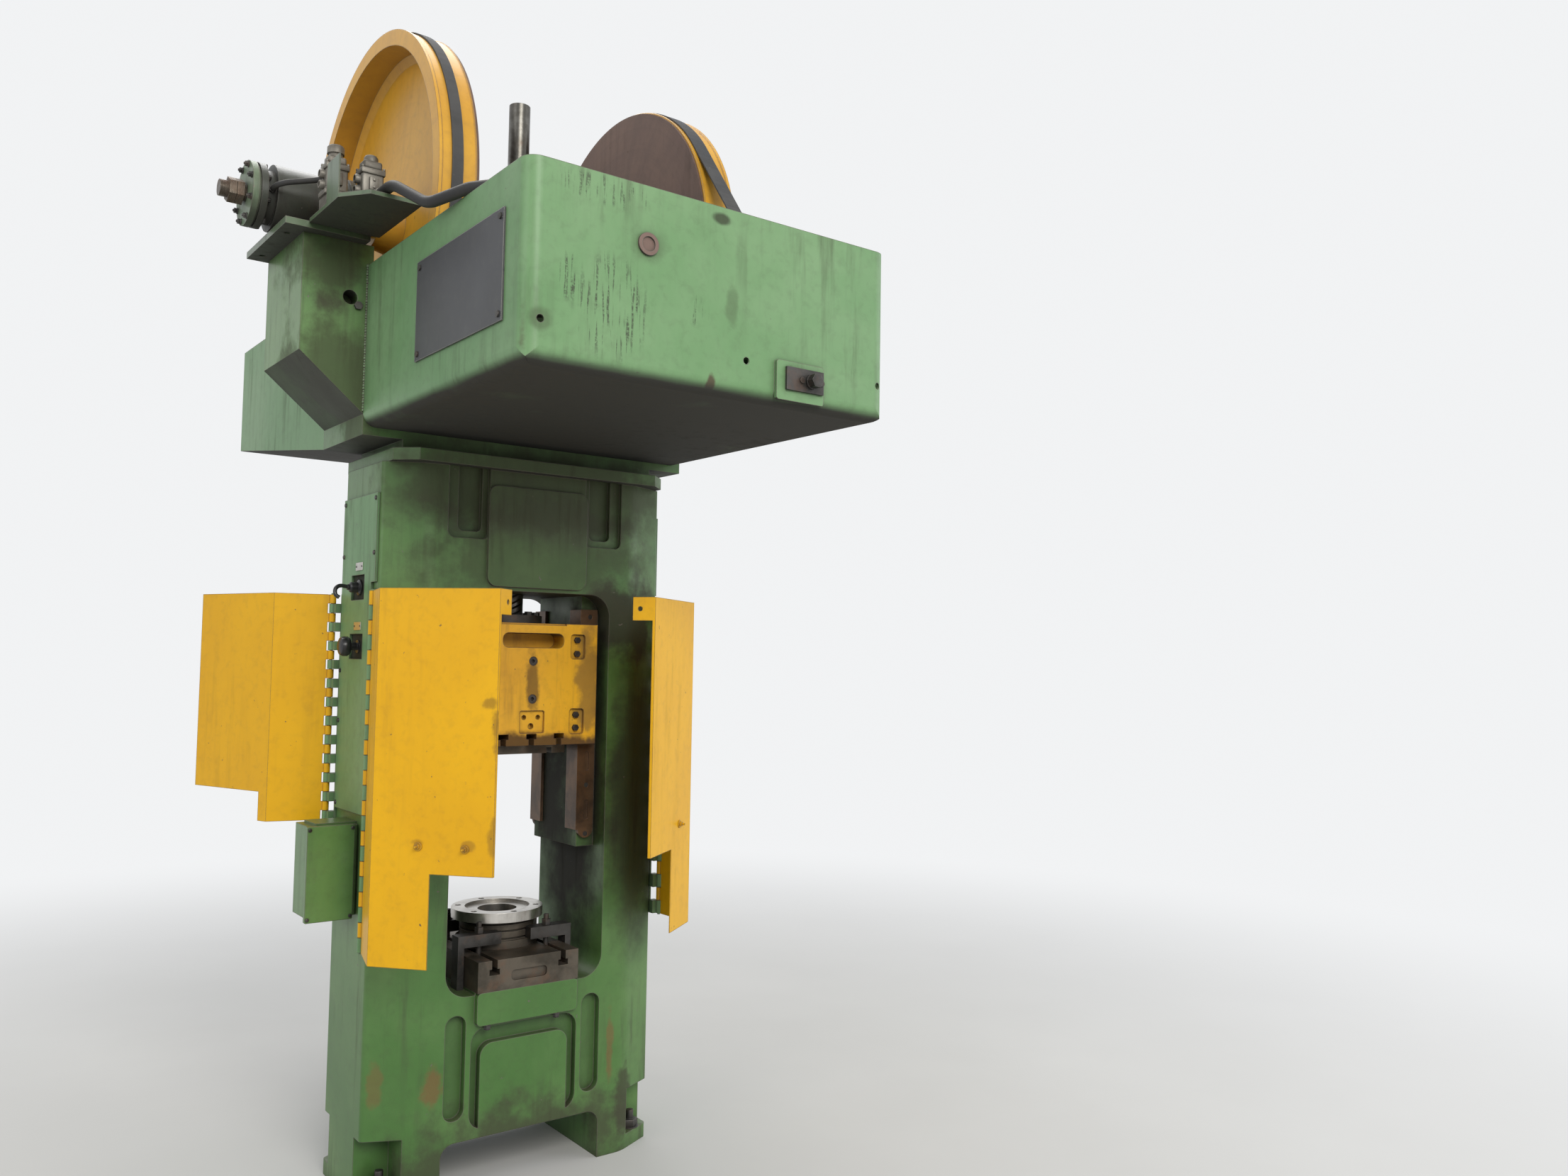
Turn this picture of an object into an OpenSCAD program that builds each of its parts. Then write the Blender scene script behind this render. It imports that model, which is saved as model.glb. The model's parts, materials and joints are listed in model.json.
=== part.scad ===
/* [Column] */
// Width of the column casting over its side faces
col_w = 960; // [900:10:1040]
// Depth of the column over its front and rear faces
col_d = 450; // [420:10:500]
// Height of the column under the top flange
col_h = 2173; // [2100:1:2300]
// Clear width of the window
win_w = 524; // [500:2:560]
// Height of the window sill
win_z0 = 575; // [540:5:575]
// Height of the window top
win_z1 = 1800; // [1800:5:1860]
// Thickness of the top flange plate
flange_t = 37; // [30:1:45]

/* [Head and boxes] */
// Length of each drive box from the head
box_l = 1060; // [1000:10:1150]
// Width of the drive boxes over their plates
box_w = 1102; // [1090:2:1140]
// Top edge height of the drive boxes
box_top = 2745; // [2700:5:2780]
// Sheet thickness of the drive boxes
box_t = 6; // [4:1:8]
// Height of the head uprights under their top plates
ear_top = 2805; // [2790:5:2820]

/* [Drive] */
// Height of the friction disc axis
disc_z = 2940; // [2935:1:2945]
// Radius of the friction discs
disc_r = 570; // [540:5:575]
// Width of a friction disc with its facing
disc_w = 120; // [110:2:120]
// Distance from the screw axis to a disc facing at rest
face_x = 378; // [378:1:382]
// Radius of the flywheel with its friction band
fly_r = 370; // [350:1:370]
// Height of the flywheel centre at rest
fly_z = 2860; // [2850:1:2865]
// Radius of the motor pulleys
pulley_r = 88; // [75:1:95]
// Distance of both motor axes from the screw axis, one in front and one behind
motor_y = 950; // [900:10:1000]
// Height of the front motor axis
motor_z = 2470; // [2450:5:2500]
// Height of the rear motor axis
rear_motor_z = 2530; // [2510:5:2560]

/* [Ram and screw] */
// Width of the ram front plate
ram_w = 452; // [430:2:460]
// Height of the ram
ram_h = 385; // [360:5:400]
// Height of the ram bottom at rest
ram_z = 1318; // [1318:1:1340]
// Radius of the screw
screw_r = 55; // [50:1:58]
// Running clearance of every sliding and turning fit
run_c = 0.05; // [0.02:0.01:0.08]

/* [Table] */
// Width of the bolster
bol_w = 336; // [300:4:340]
// Height of the bolster
bol_h = 92; // [80:2:100]
// Outer radius of the die holder
die_r = 145; // [130:1:148]
// Radius of the die bore
die_bore_r = 62; // [50:1:75]

/* [Doors] */
// Length of the flange between hinge and bend
door_flange = 172; // [160:1:180]
// Length of the main door panel
door_panel = 364; // [340:1:366]
// Sheet thickness of the doors
door_t = 3; // [2:0.5:4]

/* [Hidden] */
$fn = 64;
eps = 0.5;
hx = col_w / 2;
hy = col_d / 2;
ridge_x = hx - 130;
side_y = hy - 65;
anchor_x = hx - 60;
anchor_y = hy - 65;
win_x = win_w / 2;
flange_z1 = col_h + flange_t;
head_z0 = flange_z1;
disc_gap = 20;
head_z1 = disc_z - disc_r - disc_gap;
ear_x0 = box_w / 2 - 16;
ear_x1 = 739;
ear_y = 180;
cap_z1 = ear_top + 20;
bx = box_w / 2;
box_z0 = 2265;
by0 = ear_y;
by1 = ear_y + box_l;
rail_x = 200;
rail_y = 150;
rail_z0 = 980;
strip_t = 15;
strip_y = rail_y + strip_t;
strip_in = rail_x - 10;
strip_z0 = rail_z0 + 56;
strip_z1 = win_z1 - 46;
ram_y = 215;
ram_z1 = ram_z + ram_h;
nut_z0 = 1860;
nut_r = 95;
nut_flange_r = 130;
collar_r = 80;
collar_z0 = 1612;
collar_z1 = ram_z1;
ring_z1 = ram_z1 + 28;
fly_h = 100;
hub_z0 = fly_z - 80;
hub_z1 = fly_z + 70;
seat_r = 50;
tail_r = 35;
tail_z1 = 3450;
bol_z0 = win_z0 + 8;
bol_z1 = bol_z0 + bol_h;
bol_y = 245;
die_z1 = bol_z1 + 115;
sill_r = 70;
slot_x = 115;
clamp_y = 122;
clamp_z = bol_z1 + 24;
clamp_h = 36;
seal_c = 0.2;
thread_c = 0.05;
quill_r = 80;
quill_x0 = 530;
quill_x1 = 790;
spindle_r = 35;
rod_r = 24;
belt_t = 5;
belt_gap = 0.6;
track_r = disc_r - 3;
door_y = 182;
door_x = hx + 24;
door_z0 = 738;
rear_door_z0 = 1077;
door_z1 = 1784;
door_lip = 10;
door_tab = 74;
bend_a = 54;
pin_r = 5;
knuckle_r = 10;
knuckle_n = 12;
plate_z = 2820;
plate_y0 = -by1 + 110;
plate_y1 = plate_y0 + 540;
plate_z0 = box_top - 367;
plate_z1 = box_top - 97;
plate_screw_y = [plate_y0 + 18, plate_y1 - 18];
plate_screw_z = [plate_z0 + 18, plate_z1 - 18];
plug_x = -231;
plug_z = box_top - 145;
motor_x = face_x + 8;
rear_rise = 130 / box_l;
foot_z = 2318;
rear_foot_z = 2378;
base_t = 18;
pull_x = 270;
pull_z = 2335;
pull_r = 10;
pull_s = 33;
slide_l = 126;

// Height of the rear box floor over its inner face
function rear_floor(y) = 2240 + box_t + (y - by0) * rear_rise;

// A box between two corners
module blk(x0, x1, y0, y1, z0, z1) {
  translate([x0, y0, z0]) cube([x1 - x0, y1 - y0, z1 - z0]);
}

// Cylinders along the three axes
module cz(x, y, z0, z1, r) {
  translate([x, y, z0]) cylinder(h = z1 - z0, r = r);
}
module cy(x, z, y0, y1, r) {
  translate([x, y0, z]) rotate([-90, 0, 0]) cylinder(h = y1 - y0, r = r);
}
module cx(y, z, x0, x1, r) {
  translate([x0, y, z]) rotate([0, 90, 0]) cylinder(h = x1 - x0, r = r);
}

// A hexagon nut or head along the three axes, a is the width over flats
module hex_z(x, y, z0, z1, a) {
  translate([x, y, z0]) cylinder(h = z1 - z0, r = a / sqrt(3), $fn = 6);
}
module hex_y(x, z, y0, y1, a) {
  translate([x, y0, z]) rotate([-90, 0, 0]) cylinder(h = y1 - y0, r = a / sqrt(3), $fn = 6);
}
module hex_x(y, z, x0, x1, a) {
  translate([x0, y, z]) rotate([0, 90, 0]) cylinder(h = x1 - x0, r = a / sqrt(3), $fn = 6);
}

// A block with four rounded edges along Y
module pad_y(x0, x1, z0, z1, y0, y1, r) {
  blk(x0 + r, x1 - r, y0, y1, z0, z1);
  blk(x0, x1, y0, y1, z0 + r, z1 - r);
  for (x = [x0 + r, x1 - r]) for (z = [z0 + r, z1 - r]) cy(x, z, y0, y1, r);
}

// A block with four rounded edges along Z
module pad_z(x0, x1, y0, y1, z0, z1, r) {
  blk(x0 + r, x1 - r, y0, y1, z0, z1);
  blk(x0, x1, y0 + r, y1 - r, z0, z1);
  for (x = [x0 + r, x1 - r]) for (y = [y0 + r, y1 - r]) cz(x, y, z0, z1, r);
}

// Both mirror images of a left or right piece
module both_x() {
  children();
  mirror([1, 0, 0]) children();
}
module both_y() {
  children();
  mirror([0, 1, 0]) children();
}

// Points of a round of radius r at corner b between a and c
function round_at(a, b, c, r, n) =
  let (u = (a - b) / norm(a - b), v = (c - b) / norm(c - b), h = acos(u * v) / 2,
    m = b + (u + v) / norm(u + v) * r / sin(h), s = b + u * r / tan(h) - m,
    e = b + v * r / tan(h) - m, k = sign(s[0] * e[1] - s[1] * e[0]) * (180 - 2 * h) / n)
  [for (i = [0 : n]) m + [s[0] * cos(k * i) - s[1] * sin(k * i), s[0] * sin(k * i) + s[1] * cos(k * i)]];

// Plan outline of the column with its slanted, rounded corners
module column_plan() {
  p = [[-hx, -side_y], [-ridge_x, -hy], [ridge_x, -hy], [hx, -side_y],
    [hx, side_y], [ridge_x, hy], [-ridge_x, hy], [-hx, side_y]];
  r = [18, 110, 110, 18, 18, 110, 110, 18];
  polygon([for (i = [0 : 7]) each round_at(p[(i + 7) % 8], p[i], p[(i + 1) % 8], r[i], 6)]);
}

// Cast relief of one main face, cut into the front
module face_relief() {
  both_x() pad_y(166, 298, 1955, 2240, -hy - eps, -hy + 14, 22);
  both_x() pad_y(186, 262, 1978, 2240, -hy, -hy + 30, 18);
  both_x() pad_y(194, 258, 215, 522, -hy - eps, -hy + 26, 31);
  difference() {
    pad_y(-176, 176, 176, 475, -hy - eps, -hy + 26, 46);
    pad_y(-146, 146, 120, 427, -hy - 2 * eps, -hy + 27, 40);
  }
}

module column() {
  color([0.33, 0.52, 0.31]) difference() {
    union() {
      linear_extrude(height = col_h) column_plan();
      translate([0, 0, col_h]) linear_extrude(height = flange_t)
        polygon([[-hx + 15, -hy + 25], [-hx + 75, -hy - 35], [hx - 75, -hy - 35], [hx - 15, -hy + 25],
          [hx - 15, hy - 25], [hx - 75, hy + 35], [-hx + 75, hy + 35], [-hx + 15, hy - 25]]);
      both_y() pad_y(-170, 170, win_z1 + 12, 2125, -hy - 8, -hy + 1, 30);
      both_y() pad_y(-168, 168, 485, bol_z0, -bol_y, -hy + 1, 14);
    }
    difference() {
      pad_y(-win_x, win_x, win_z0, win_z1, -hy - 30, hy + 30, sill_r);
      both_x() blk(rail_x, win_x + 1, -rail_y, rail_y, rail_z0, win_z1);
      blk(-bol_w / 2, bol_w / 2, -bol_y - 1, bol_y + 1, win_z0 - 1, bol_z0);
    }
    pad_y(-win_x, win_x, -100, 150, -hy - 1, hy + 1, 40);
    both_y() face_relief();
    cz(0, 0, nut_z0, flange_z1 + 1, nut_r);
    cz(0, 0, win_z1 - 1, nut_z0 + 1, screw_r + 8);
    both_x() both_y() blk(anchor_x - 45, hx + 1, -hy - 1, -anchor_y + 50, 45, 190);
    both_x() both_y() cz(anchor_x, -anchor_y, -1, 46, 17);
  }
}

// Heights of the screws of a guide strip
strip_screw_z = [42, 200, 350, 500, 650, strip_z1 - rail_z0 - 24];

// One bronze guide strip, wrapped round the rail corner
module strip() {
  difference() {
    union() {
      blk(rail_x - 2, 252, -strip_y, -rail_y, strip_z0, strip_z1);
      cy(225, strip_z0, -strip_y, -rail_y, 27);
      blk(strip_in, rail_x, -strip_y, -90, strip_z0, strip_z1);
    }
    for (z = strip_screw_z) cy(225, rail_z0 + z, -strip_y - 1, -rail_y + 1, 8);
    for (z = [88, 246]) pad_y(217, 233, rail_z0 + z, rail_z0 + z + 64, -strip_y - 1, -strip_y + 5, 7);
  }
}

module guide_strips() {
  color([0.45, 0.30, 0.17]) both_x() both_y() strip();
}

module nut() {
  color([0.62, 0.46, 0.22]) difference() {
    union() {
      cz(0, 0, nut_z0, flange_z1, nut_r);
      cz(0, 0, flange_z1, flange_z1 + 24, nut_flange_r);
    }
    cz(0, 0, nut_z0 - 1, flange_z1 + 25, screw_r + run_c);
  }
}

// Head yoke seen from the front
module head_face() {
  polygon([[-ear_x1, 2463], [-bx, 2301], [-bx, 2240], [-430, 2240], [-430, head_z0], [430, head_z0],
    [430, 2240], [bx, 2240], [bx, 2301], [ear_x1, 2463], [ear_x1, ear_top], [ear_x0, ear_top],
    [ear_x0, head_z1], [-ear_x0, head_z1], [-ear_x0, ear_top], [-ear_x1, ear_top]]);
}

module head() {
  color([0.33, 0.52, 0.31]) difference() {
    translate([0, ear_y, 0]) rotate([90, 0, 0]) linear_extrude(height = 2 * ear_y) head_face();
    cz(0, 0, head_z0 - 1, head_z1 + 1, nut_flange_r + 6);
    cy(-ear_x0 - 65, ear_top - 165, -ear_y - 1, -ear_y + 60, 21);
    both_x() for (y = [-110, 110]) cz(350, y, head_z1 - 20, head_z1 + 1, 30);
  }
}

// Solid shape of the front drive box, inset by its sheet thickness
module box_form(s) {
  r = 40 - s;
  intersection() {
    pad_z(-bx + s, bx - s, -by1 + s, -by0 + 60, 2100, 2900, r);
    pad_y(-bx + s, bx - s, box_z0 + s, 2900, -by1 - 1, -by0 + 1, r);
    union() {
      blk(-bx - 1, bx + 1, -by1 + s, -by0 + 1, box_z0 + 40, 2901);
      blk(-bx - 1, bx + 1, -by1 + 40, -by0 + 1, box_z0 + s, 2901);
      cx(-by1 + 40, box_z0 + 40, -bx - 1, bx + 1, r);
    }
  }
}

module front_box() {
  color([0.36, 0.56, 0.34]) difference() {
    union() {
      box_form(0);
      pad_y(160, 318, 2277, 2382, -by1 - 10, -by1 + 1, 8);
    }
    box_form(box_t);
    blk(-bx - 1, bx + 1, -by1 - 1, 400, box_top, 3000);
    blk(-bx - 1, bx + 1, -by0, 400, 2000, 3000);
    cy(-bx + 41, box_z0 + 102, -by1 - 1, -by1 + 20, 9);
    cy(69, box_z0 + 98, -by1 - 1, -by1 + 20, 9);
    cy(bx - 30, box_z0 + 100, -by1 - 1, -by1 + 20, 9);
    cy(plug_x, plug_z, -by1 - 1, -by1 + 20, 20);
    cy(pull_x, pull_z, -by1 - 11, -by1 + 20, pull_r + 1);
    for (x = [-pull_s, pull_s]) cy(pull_x + x, pull_z, -by1 - 11, -by1 + box_t + 1, 6);
  }
}

// Rear drive box, its floor rises to the rear
module rear_form(s) {
  intersection() {
    translate([-bx - 1, 0, 0]) rotate([90, 0, 90]) linear_extrude(height = 2 * bx + 2)
      polygon([[by0 - 1, 2240 + s - rear_rise], [by1 - s, 2370 + s - s * rear_rise],
        [by1 - s, 2800 + s], [by0 - 1, 2800 + s]]);
    pad_z(-bx + s, bx - s, by0 - 60, by1 - s, 2100, 2799 + s, 40 - s);
  }
}

module rear_box() {
  color([0.36, 0.56, 0.34]) difference() {
    rear_form(0);
    rear_form(box_t);
    blk(-bx - 1, bx + 1, -400, by1 + 1, box_top, 3000);
    blk(-bx - 1, bx + 1, -400, by0, 2000, 3000);
  }
}

module ear_plates() {
  color([0.36, 0.56, 0.34]) both_x() difference() {
    blk(560, 800, -220, 192, ear_top, cap_z1);
    for (x = [580, 770]) for (y = [-130, 130]) cz(x, y, ear_top - 1, cap_z1 + 1, 9);
  }
}

module nameplate() {
  color([0.09, 0.10, 0.12]) difference() {
    blk(-bx - 5, -bx, plate_y0, plate_y1, plate_z0, plate_z1);
    for (y = plate_screw_y) for (z = plate_screw_z) cx(y, z, -bx - 6, -bx, 4);
  }
}

module sight_plug() {
  color([0.42, 0.40, 0.30]) difference() {
    union() {
      cy(plug_x, plug_z, -by1 - 6, -by1, 28);
      cy(plug_x, plug_z, -by1, -by1 + 12, 20);
    }
    cy(plug_x, plug_z, -by1 - 7, -by1 - 2, 18);
  }
}

// Plate on the pad of the front box that holds the belt tension bolt
module tension_yoke() {
  color([0.22, 0.20, 0.19]) difference() {
    blk(pull_x - 82, pull_x + 42, -by1 - 18, -by1 - 10, pull_z - 30, pull_z + 31);
    cy(pull_x, pull_z, -by1 - 19, -by1 - 9, pull_r + thread_c);
    for (x = [-pull_s, pull_s]) cy(pull_x + x, pull_z, -by1 - 19, -by1 - 9, 6);
  }
}

module tension_bolt() {
  color([0.22, 0.20, 0.19]) {
    hex_y(pull_x, pull_z, -by1 - 46, -by1 - 24, 34);
    cy(pull_x, pull_z, -by1 - 24, -by1 - 18, 20);
    cy(pull_x, pull_z, -by1 - 24, -motor_y - slide_l, pull_r);
  }
}

// Spindle housing on the right upright
module housing() {
  difference() {
    union() {
      blk(600, 770, -105, 105, cap_z1, cap_z1 + 22);
      blk(625, 745, -60, 60, cap_z1 + 22, disc_z);
      cx(0, disc_z, 560, quill_x1, 98);
      cx(0, disc_z, 560, 580, 108);
    }
    cx(0, disc_z, 559, quill_x1 + 1, quill_r + run_c);
  }
}

module housings() {
  color([0.20, 0.22, 0.19]) both_x() housing();
}

// Shift cylinder barrel with its flange
module barrel() {
  difference() {
    union() {
      cx(0, disc_z, quill_x1, 815, 78);
      cx(0, disc_z, 815, 834, 95);
    }
    cx(0, disc_z, quill_x1 - 1, 835, 70);
  }
}

module barrels() {
  color([0.16, 0.17, 0.15]) both_x() barrel();
}

// End cap of a shift cylinder
module cap() {
  difference() {
    union() {
      cx(0, disc_z, 834, 840, 88);
      cx(0, disc_z, 840, 858, 95);
    }
    cx(0, disc_z, 833, 859, rod_r + run_c);
  }
}

module caps() {
  color([0.38, 0.50, 0.36]) both_x() cap();
}

// Motor to the right of the screw axis and in front, its feet at a height f
module motor(z, f) {
  difference() {
    union() {
      cx(-motor_y, z, motor_x - 290, motor_x - 10, 105);
      cx(-motor_y, z, motor_x - 326, motor_x - 290, 98);
      cx(-motor_y, z, motor_x - 10, motor_x, 60);
      blk(motor_x - 246, motor_x - 46, -motor_y - 100, -motor_y + 100, f, f + 18);
      blk(motor_x - 236, motor_x - 56, -motor_y - 90, -motor_y - 50, f + 12, z - 40);
      blk(motor_x - 236, motor_x - 56, -motor_y + 50, -motor_y + 90, f + 12, z - 40);
      blk(motor_x - 216, motor_x - 96, -motor_y - 55, -motor_y + 55, z + 80, z + 150);
    }
    cx(-motor_y, z, motor_x - 186, motor_x + 1, 19 + run_c);
  }
}

module motors() {
  color([0.30, 0.40, 0.33]) {
    motor(motor_z, foot_z);
    rotate([0, 0, 180]) motor(rear_motor_z, rear_foot_z);
  }
}

// Slide plates under the motors on rails that follow the box floors
module motor_bases() {
  y0 = motor_y - slide_l;
  y1 = motor_y + slide_l;
  color([0.25, 0.27, 0.25]) {
    blk(motor_x - 266, motor_x - 26, -y1, -y0, foot_z - base_t, foot_z);
    for (x = [motor_x - 246, motor_x - 76]) blk(x, x + 30, -y1, -y0, box_z0 + box_t, foot_z - base_t);
    blk(26 - motor_x, 266 - motor_x, y0, y1, rear_foot_z - base_t, rear_foot_z);
    for (x = [46 - motor_x, 216 - motor_x])
      translate([x, 0, 0]) rotate([90, 0, 90]) linear_extrude(height = 30)
      polygon([[y0, rear_floor(y0)], [y1, rear_floor(y1)],
        [y1, rear_foot_z - base_t], [y0, rear_foot_z - base_t]]);
  }
}

// Belt outline at a distance a outside the disc track and the pulley
function belt_line(a, f, b, mz) = concat(
  [for (i = [0 : 72]) let (t = f + b + (360 - 2 * b) * i / 72)
    [(track_r + a) * cos(t), disc_z + (track_r + a) * sin(t)]],
  [for (i = [0 : 20]) let (t = f - b + 2 * b * i / 20)
    [-motor_y + (pulley_r + a) * cos(t), mz + (pulley_r + a) * sin(t)]]);

// Flat belt of the front motor between two distances from the screw axis
module belt(x0, x1, mz) {
  d = sqrt(motor_y * motor_y + (disc_z - mz) * (disc_z - mz));
  f = atan2(mz - disc_z, -motor_y);
  b = acos((track_r - pulley_r) / d);
  translate([x0, 0, 0]) rotate([90, 0, 90]) linear_extrude(height = x1 - x0) difference() {
    polygon(belt_line(belt_gap + belt_t, f, b, mz));
    polygon(belt_line(belt_gap, f, b, mz));
  }
}

module belts() {
  color([0.20, 0.21, 0.22]) {
    belt(face_x + 22, face_x + 76, motor_z);
    mirror([0, 1, 0]) belt(-face_x - 82, -face_x - 50, rear_motor_z);
  }
}

// Bracket plate of the valves with its upright splash plate
module valve_plate() {
  color([0.33, 0.45, 0.33]) {
    translate([0, 0, plate_z]) linear_extrude(height = 12)
      polygon([[-735, -220], [-735, -470], [-675, -552], [-bx + 16, -552], [-bx + 16, -220]]);
    blk(-735, -731, -470, -370, plate_z + 12, plate_z + 122);
  }
}

// A control valve on a foot
module valve(x, y, z0, h) {
  blk(x - 36, x + 36, y - 30, y + 30, z0, z0 + 26);
  pad_z(x - 32, x + 32, y - 27, y + 27, z0 + 26, z0 + h, 8);
  cx(y, z0 + 44, x - 44, x - 32, 13);
}

module valves() {
  color([0.44, 0.44, 0.42]) {
    blk(-720, -660, -330, -250, plate_z + 12, plate_z + 60);
    valve(-690, -290, plate_z + 60, 130);
    cz(-690, -290, plate_z + 190, plate_z + 214, 24);
    valve(-640, -440, plate_z + 12, 135);
  }
}

// Thin cover sheet on the left side of the column
module side_sheet() {
  difference() {
    blk(-hx - 8, -hx, -148, 148, 1120, 2080);
    blk(-hx - 9, -hx + 1, -149, -115, 1790, 1812);
    blk(-hx - 9, -hx + 1, -57, 58, 1762, 1838);
    blk(-hx - 9, -hx + 1, -57, 58, 1582, 1658);
  }
}

module side_covers() {
  color([0.35, 0.55, 0.33]) both_x() side_sheet();
}

module side_tags() {
  color([0.5, 0.5, 0.48]) {
    blk(-hx - 9.5, -hx - 8, -40, 20, 1852, 1876);
    blk(-hx - 9.5, -hx - 8, -40, 20, 1670, 1694);
  }
}

// Terminal box with its lid, a seal keeps them apart
module terminal_box() {
  color([0.24, 0.42, 0.24]) {
    pad_z(-hx - 140, -hx, -58, 90, 822, 1088, 6);
    blk(-hx - 120, -hx, -40, 70, 1088, 1096);
    pad_y(-hx - 152, -hx - 14, 814, 1092, -72, -58 - seal_c, 4);
  }
}

// Fixed leaf, knuckles and pin of the front right hinge
module hinge(z0) {
  step = (door_z1 - z0) / (2 * knuckle_n);
  blk(hx, hx + 6, -door_y + 24, -148.5, z0, door_z1);
  for (i = [0 : knuckle_n - 1]) {
    z = z0 + 2 * i * step;
    cz(door_x, -door_y, z + 0.5, z + step - 0.5, knuckle_r);
    blk(hx, door_x, -door_y + 2, -door_y + 30, z + 0.5, z + step - 0.5);
  }
  cz(door_x, -door_y, z0 - 4, door_z1 + 4, pin_r);
}

module hinges() {
  color([0.33, 0.52, 0.31]) both_x() {
    hinge(door_z0);
    mirror([0, 1, 0]) hinge(rear_door_z0);
  }
}

// Door with its bend, drawn closed on the front right with the hinge axis at the origin
module door_sheet(z0, mid_z, notch) {
  c = cos(bend_a);
  n = sin(bend_a);
  bend_x = -door_flange * c;
  bend_y = -door_flange * n;
  free_x = bend_x - door_panel;
  mitre = door_t / (1 + c);
  step = (door_z1 - z0) / (2 * knuckle_n);
  difference() {
    union() {
      translate([0, 0, z0]) linear_extrude(height = door_z1 - z0)
        polygon([[-14 * c, -14 * n], [bend_x, bend_y], [free_x, bend_y],
          [free_x, bend_y + door_lip], [free_x + door_t, bend_y + door_lip],
          [free_x + door_t, bend_y + door_t],
          [bend_x - n * mitre, bend_y + (1 + c) * mitre],
          [-14 * c - n * door_t, -14 * n + c * door_t]]);
      blk(free_x, free_x + door_t, bend_y + 1, bend_y + door_tab, door_z1 - 72, door_z1);
      for (i = [0 : knuckle_n - 1]) {
        z = z0 + (2 * i + 1) * step;
        cz(0, 0, z + 0.5, z + step - 0.5, knuckle_r);
        translate([0, 0, z + 0.5]) linear_extrude(height = step - 1)
          polygon([[-7 * c, -7 * n], [-16 * c, -16 * n],
            [-16 * c - n * door_t, -16 * n + c * door_t], [-7 * c - n * door_t, -7 * n + c * door_t]]);
      }
    }
    blk(free_x - 1, bend_x - notch, bend_y - 5, bend_y + 40, z0 - 1, mid_z);
    cx(bend_y + door_tab - 24, door_z1 - 36, free_x - 1, free_x + door_t + 1, 7);
    cz(0, 0, z0 - 5, door_z1 + 5, pin_r + run_c);
  }
}

module door_at(open_a, z0, mid_z, notch) {
  translate([door_x, -door_y, 0]) rotate([0, 0, open_a]) door_sheet(z0, mid_z, notch);
}

module door_fl() {
  color([0.91, 0.69, 0.16]) mirror([1, 0, 0]) door_at(49.1, door_z0, 997, 178);
}
module door_fr() {
  color([0.91, 0.69, 0.16]) door_at(37.9, door_z0, 997, 178);
}
module door_rl() {
  color([0.91, 0.69, 0.16]) rotate([0, 0, 180]) door_at(111, rear_door_z0, 1166, 40);
}
module door_rr() {
  color([0.91, 0.69, 0.16]) mirror([0, 1, 0]) door_at(100, rear_door_z0, 1166, 40);
}

module bolster() {
  color([0.36, 0.32, 0.27]) difference() {
    blk(-bol_w / 2, bol_w / 2, -bol_y, bol_y, bol_z0, bol_z1);
    both_x() {
      blk(106, 124, -bol_y - 1, bol_y + 1, bol_z1 - 30, bol_z1 + 1);
      blk(98, 132, -bol_y - 1, bol_y + 1, bol_z1 - 44, bol_z1 - 26);
    }
    pad_y(-60, 60, bol_z0 + 24, bol_z0 + 56, -bol_y - 1, -bol_y + 10, 12);
  }
}

module die_holder() {
  color([0.30, 0.28, 0.26]) difference() {
    union() {
      cz(0, 0, bol_z1, bol_z1 + 24, die_r - 15);
      cz(0, 0, bol_z1 + 24, bol_z1 + 84, die_r - 27);
    }
    cz(0, 0, bol_z1 - 1, bol_z1 + 85, die_bore_r);
    for (z = [26, 50, 72]) difference() {
      cz(0, 0, bol_z1 + z, bol_z1 + z + 6, die_r);
      cz(0, 0, bol_z1 + z - 1, bol_z1 + z + 7, die_r - 36);
    }
  }
}

module die_ring() {
  color([0.66, 0.65, 0.62]) difference() {
    cz(0, 0, bol_z1 + 84, die_z1, die_r);
    cz(0, 0, bol_z1 + 83, die_z1 + 1, die_bore_r);
    cz(0, 0, die_z1 - 9, die_z1 + 1, die_r - 42);
    for (a = [30 : 60 : 330]) rotate([0, 0, a]) cz(die_r - 21, 0, die_z1 - 12, die_z1 + 1, 10);
  }
}

// Strap of the die holder with its bent heel, on the right in front
module clamp() {
  difference() {
    union() {
      blk(50, win_x - sill_r, -clamp_y - 24, -clamp_y + 24, clamp_z, clamp_z + clamp_h);
      blk(bol_w / 2 + 4, win_x - sill_r, -clamp_y - 24, -clamp_y + 24, win_z0, clamp_z + 1);
    }
    cz(0, 0, clamp_z - 1, clamp_z + clamp_h + 1, die_r - 26.7);
    cz(slot_x, -clamp_y, clamp_z - 1, clamp_z + clamp_h + 1, 9);
  }
}

module clamps() {
  color([0.14, 0.13, 0.12]) both_x() both_y() clamp();
}

// Bolt of a clamp, its head seats in the slot of the bolster
module clamp_bolt() {
  blk(slot_x - 13, slot_x + 13, -clamp_y - 13, -clamp_y + 13, bol_z1 - 40, bol_z1 - 26);
  cz(slot_x, -clamp_y, bol_z1 - 41 + 1, clamp_z + clamp_h + 34, 8);
  hex_z(slot_x, -clamp_y, clamp_z + clamp_h, clamp_z + clamp_h + 18, 26);
}

// Bolts of the nut flange, the head, the left upright and the clamps
module frame_bolts() {
  color([0.25, 0.25, 0.26]) {
    for (a = [0 : 45 : 315]) rotate([0, 0, a]) hex_z(113, 0, flange_z1 + 24, flange_z1 + 38, 24);
    both_x() for (y = [-110, 110]) hex_z(350, y, head_z1 - 20, head_z1 + 8, 46);
    hex_y(-ear_x0 - 42, ear_top - 187, -ear_y - 9, -ear_y, 22);
    both_x() both_y() clamp_bolt();
  }
}

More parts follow.
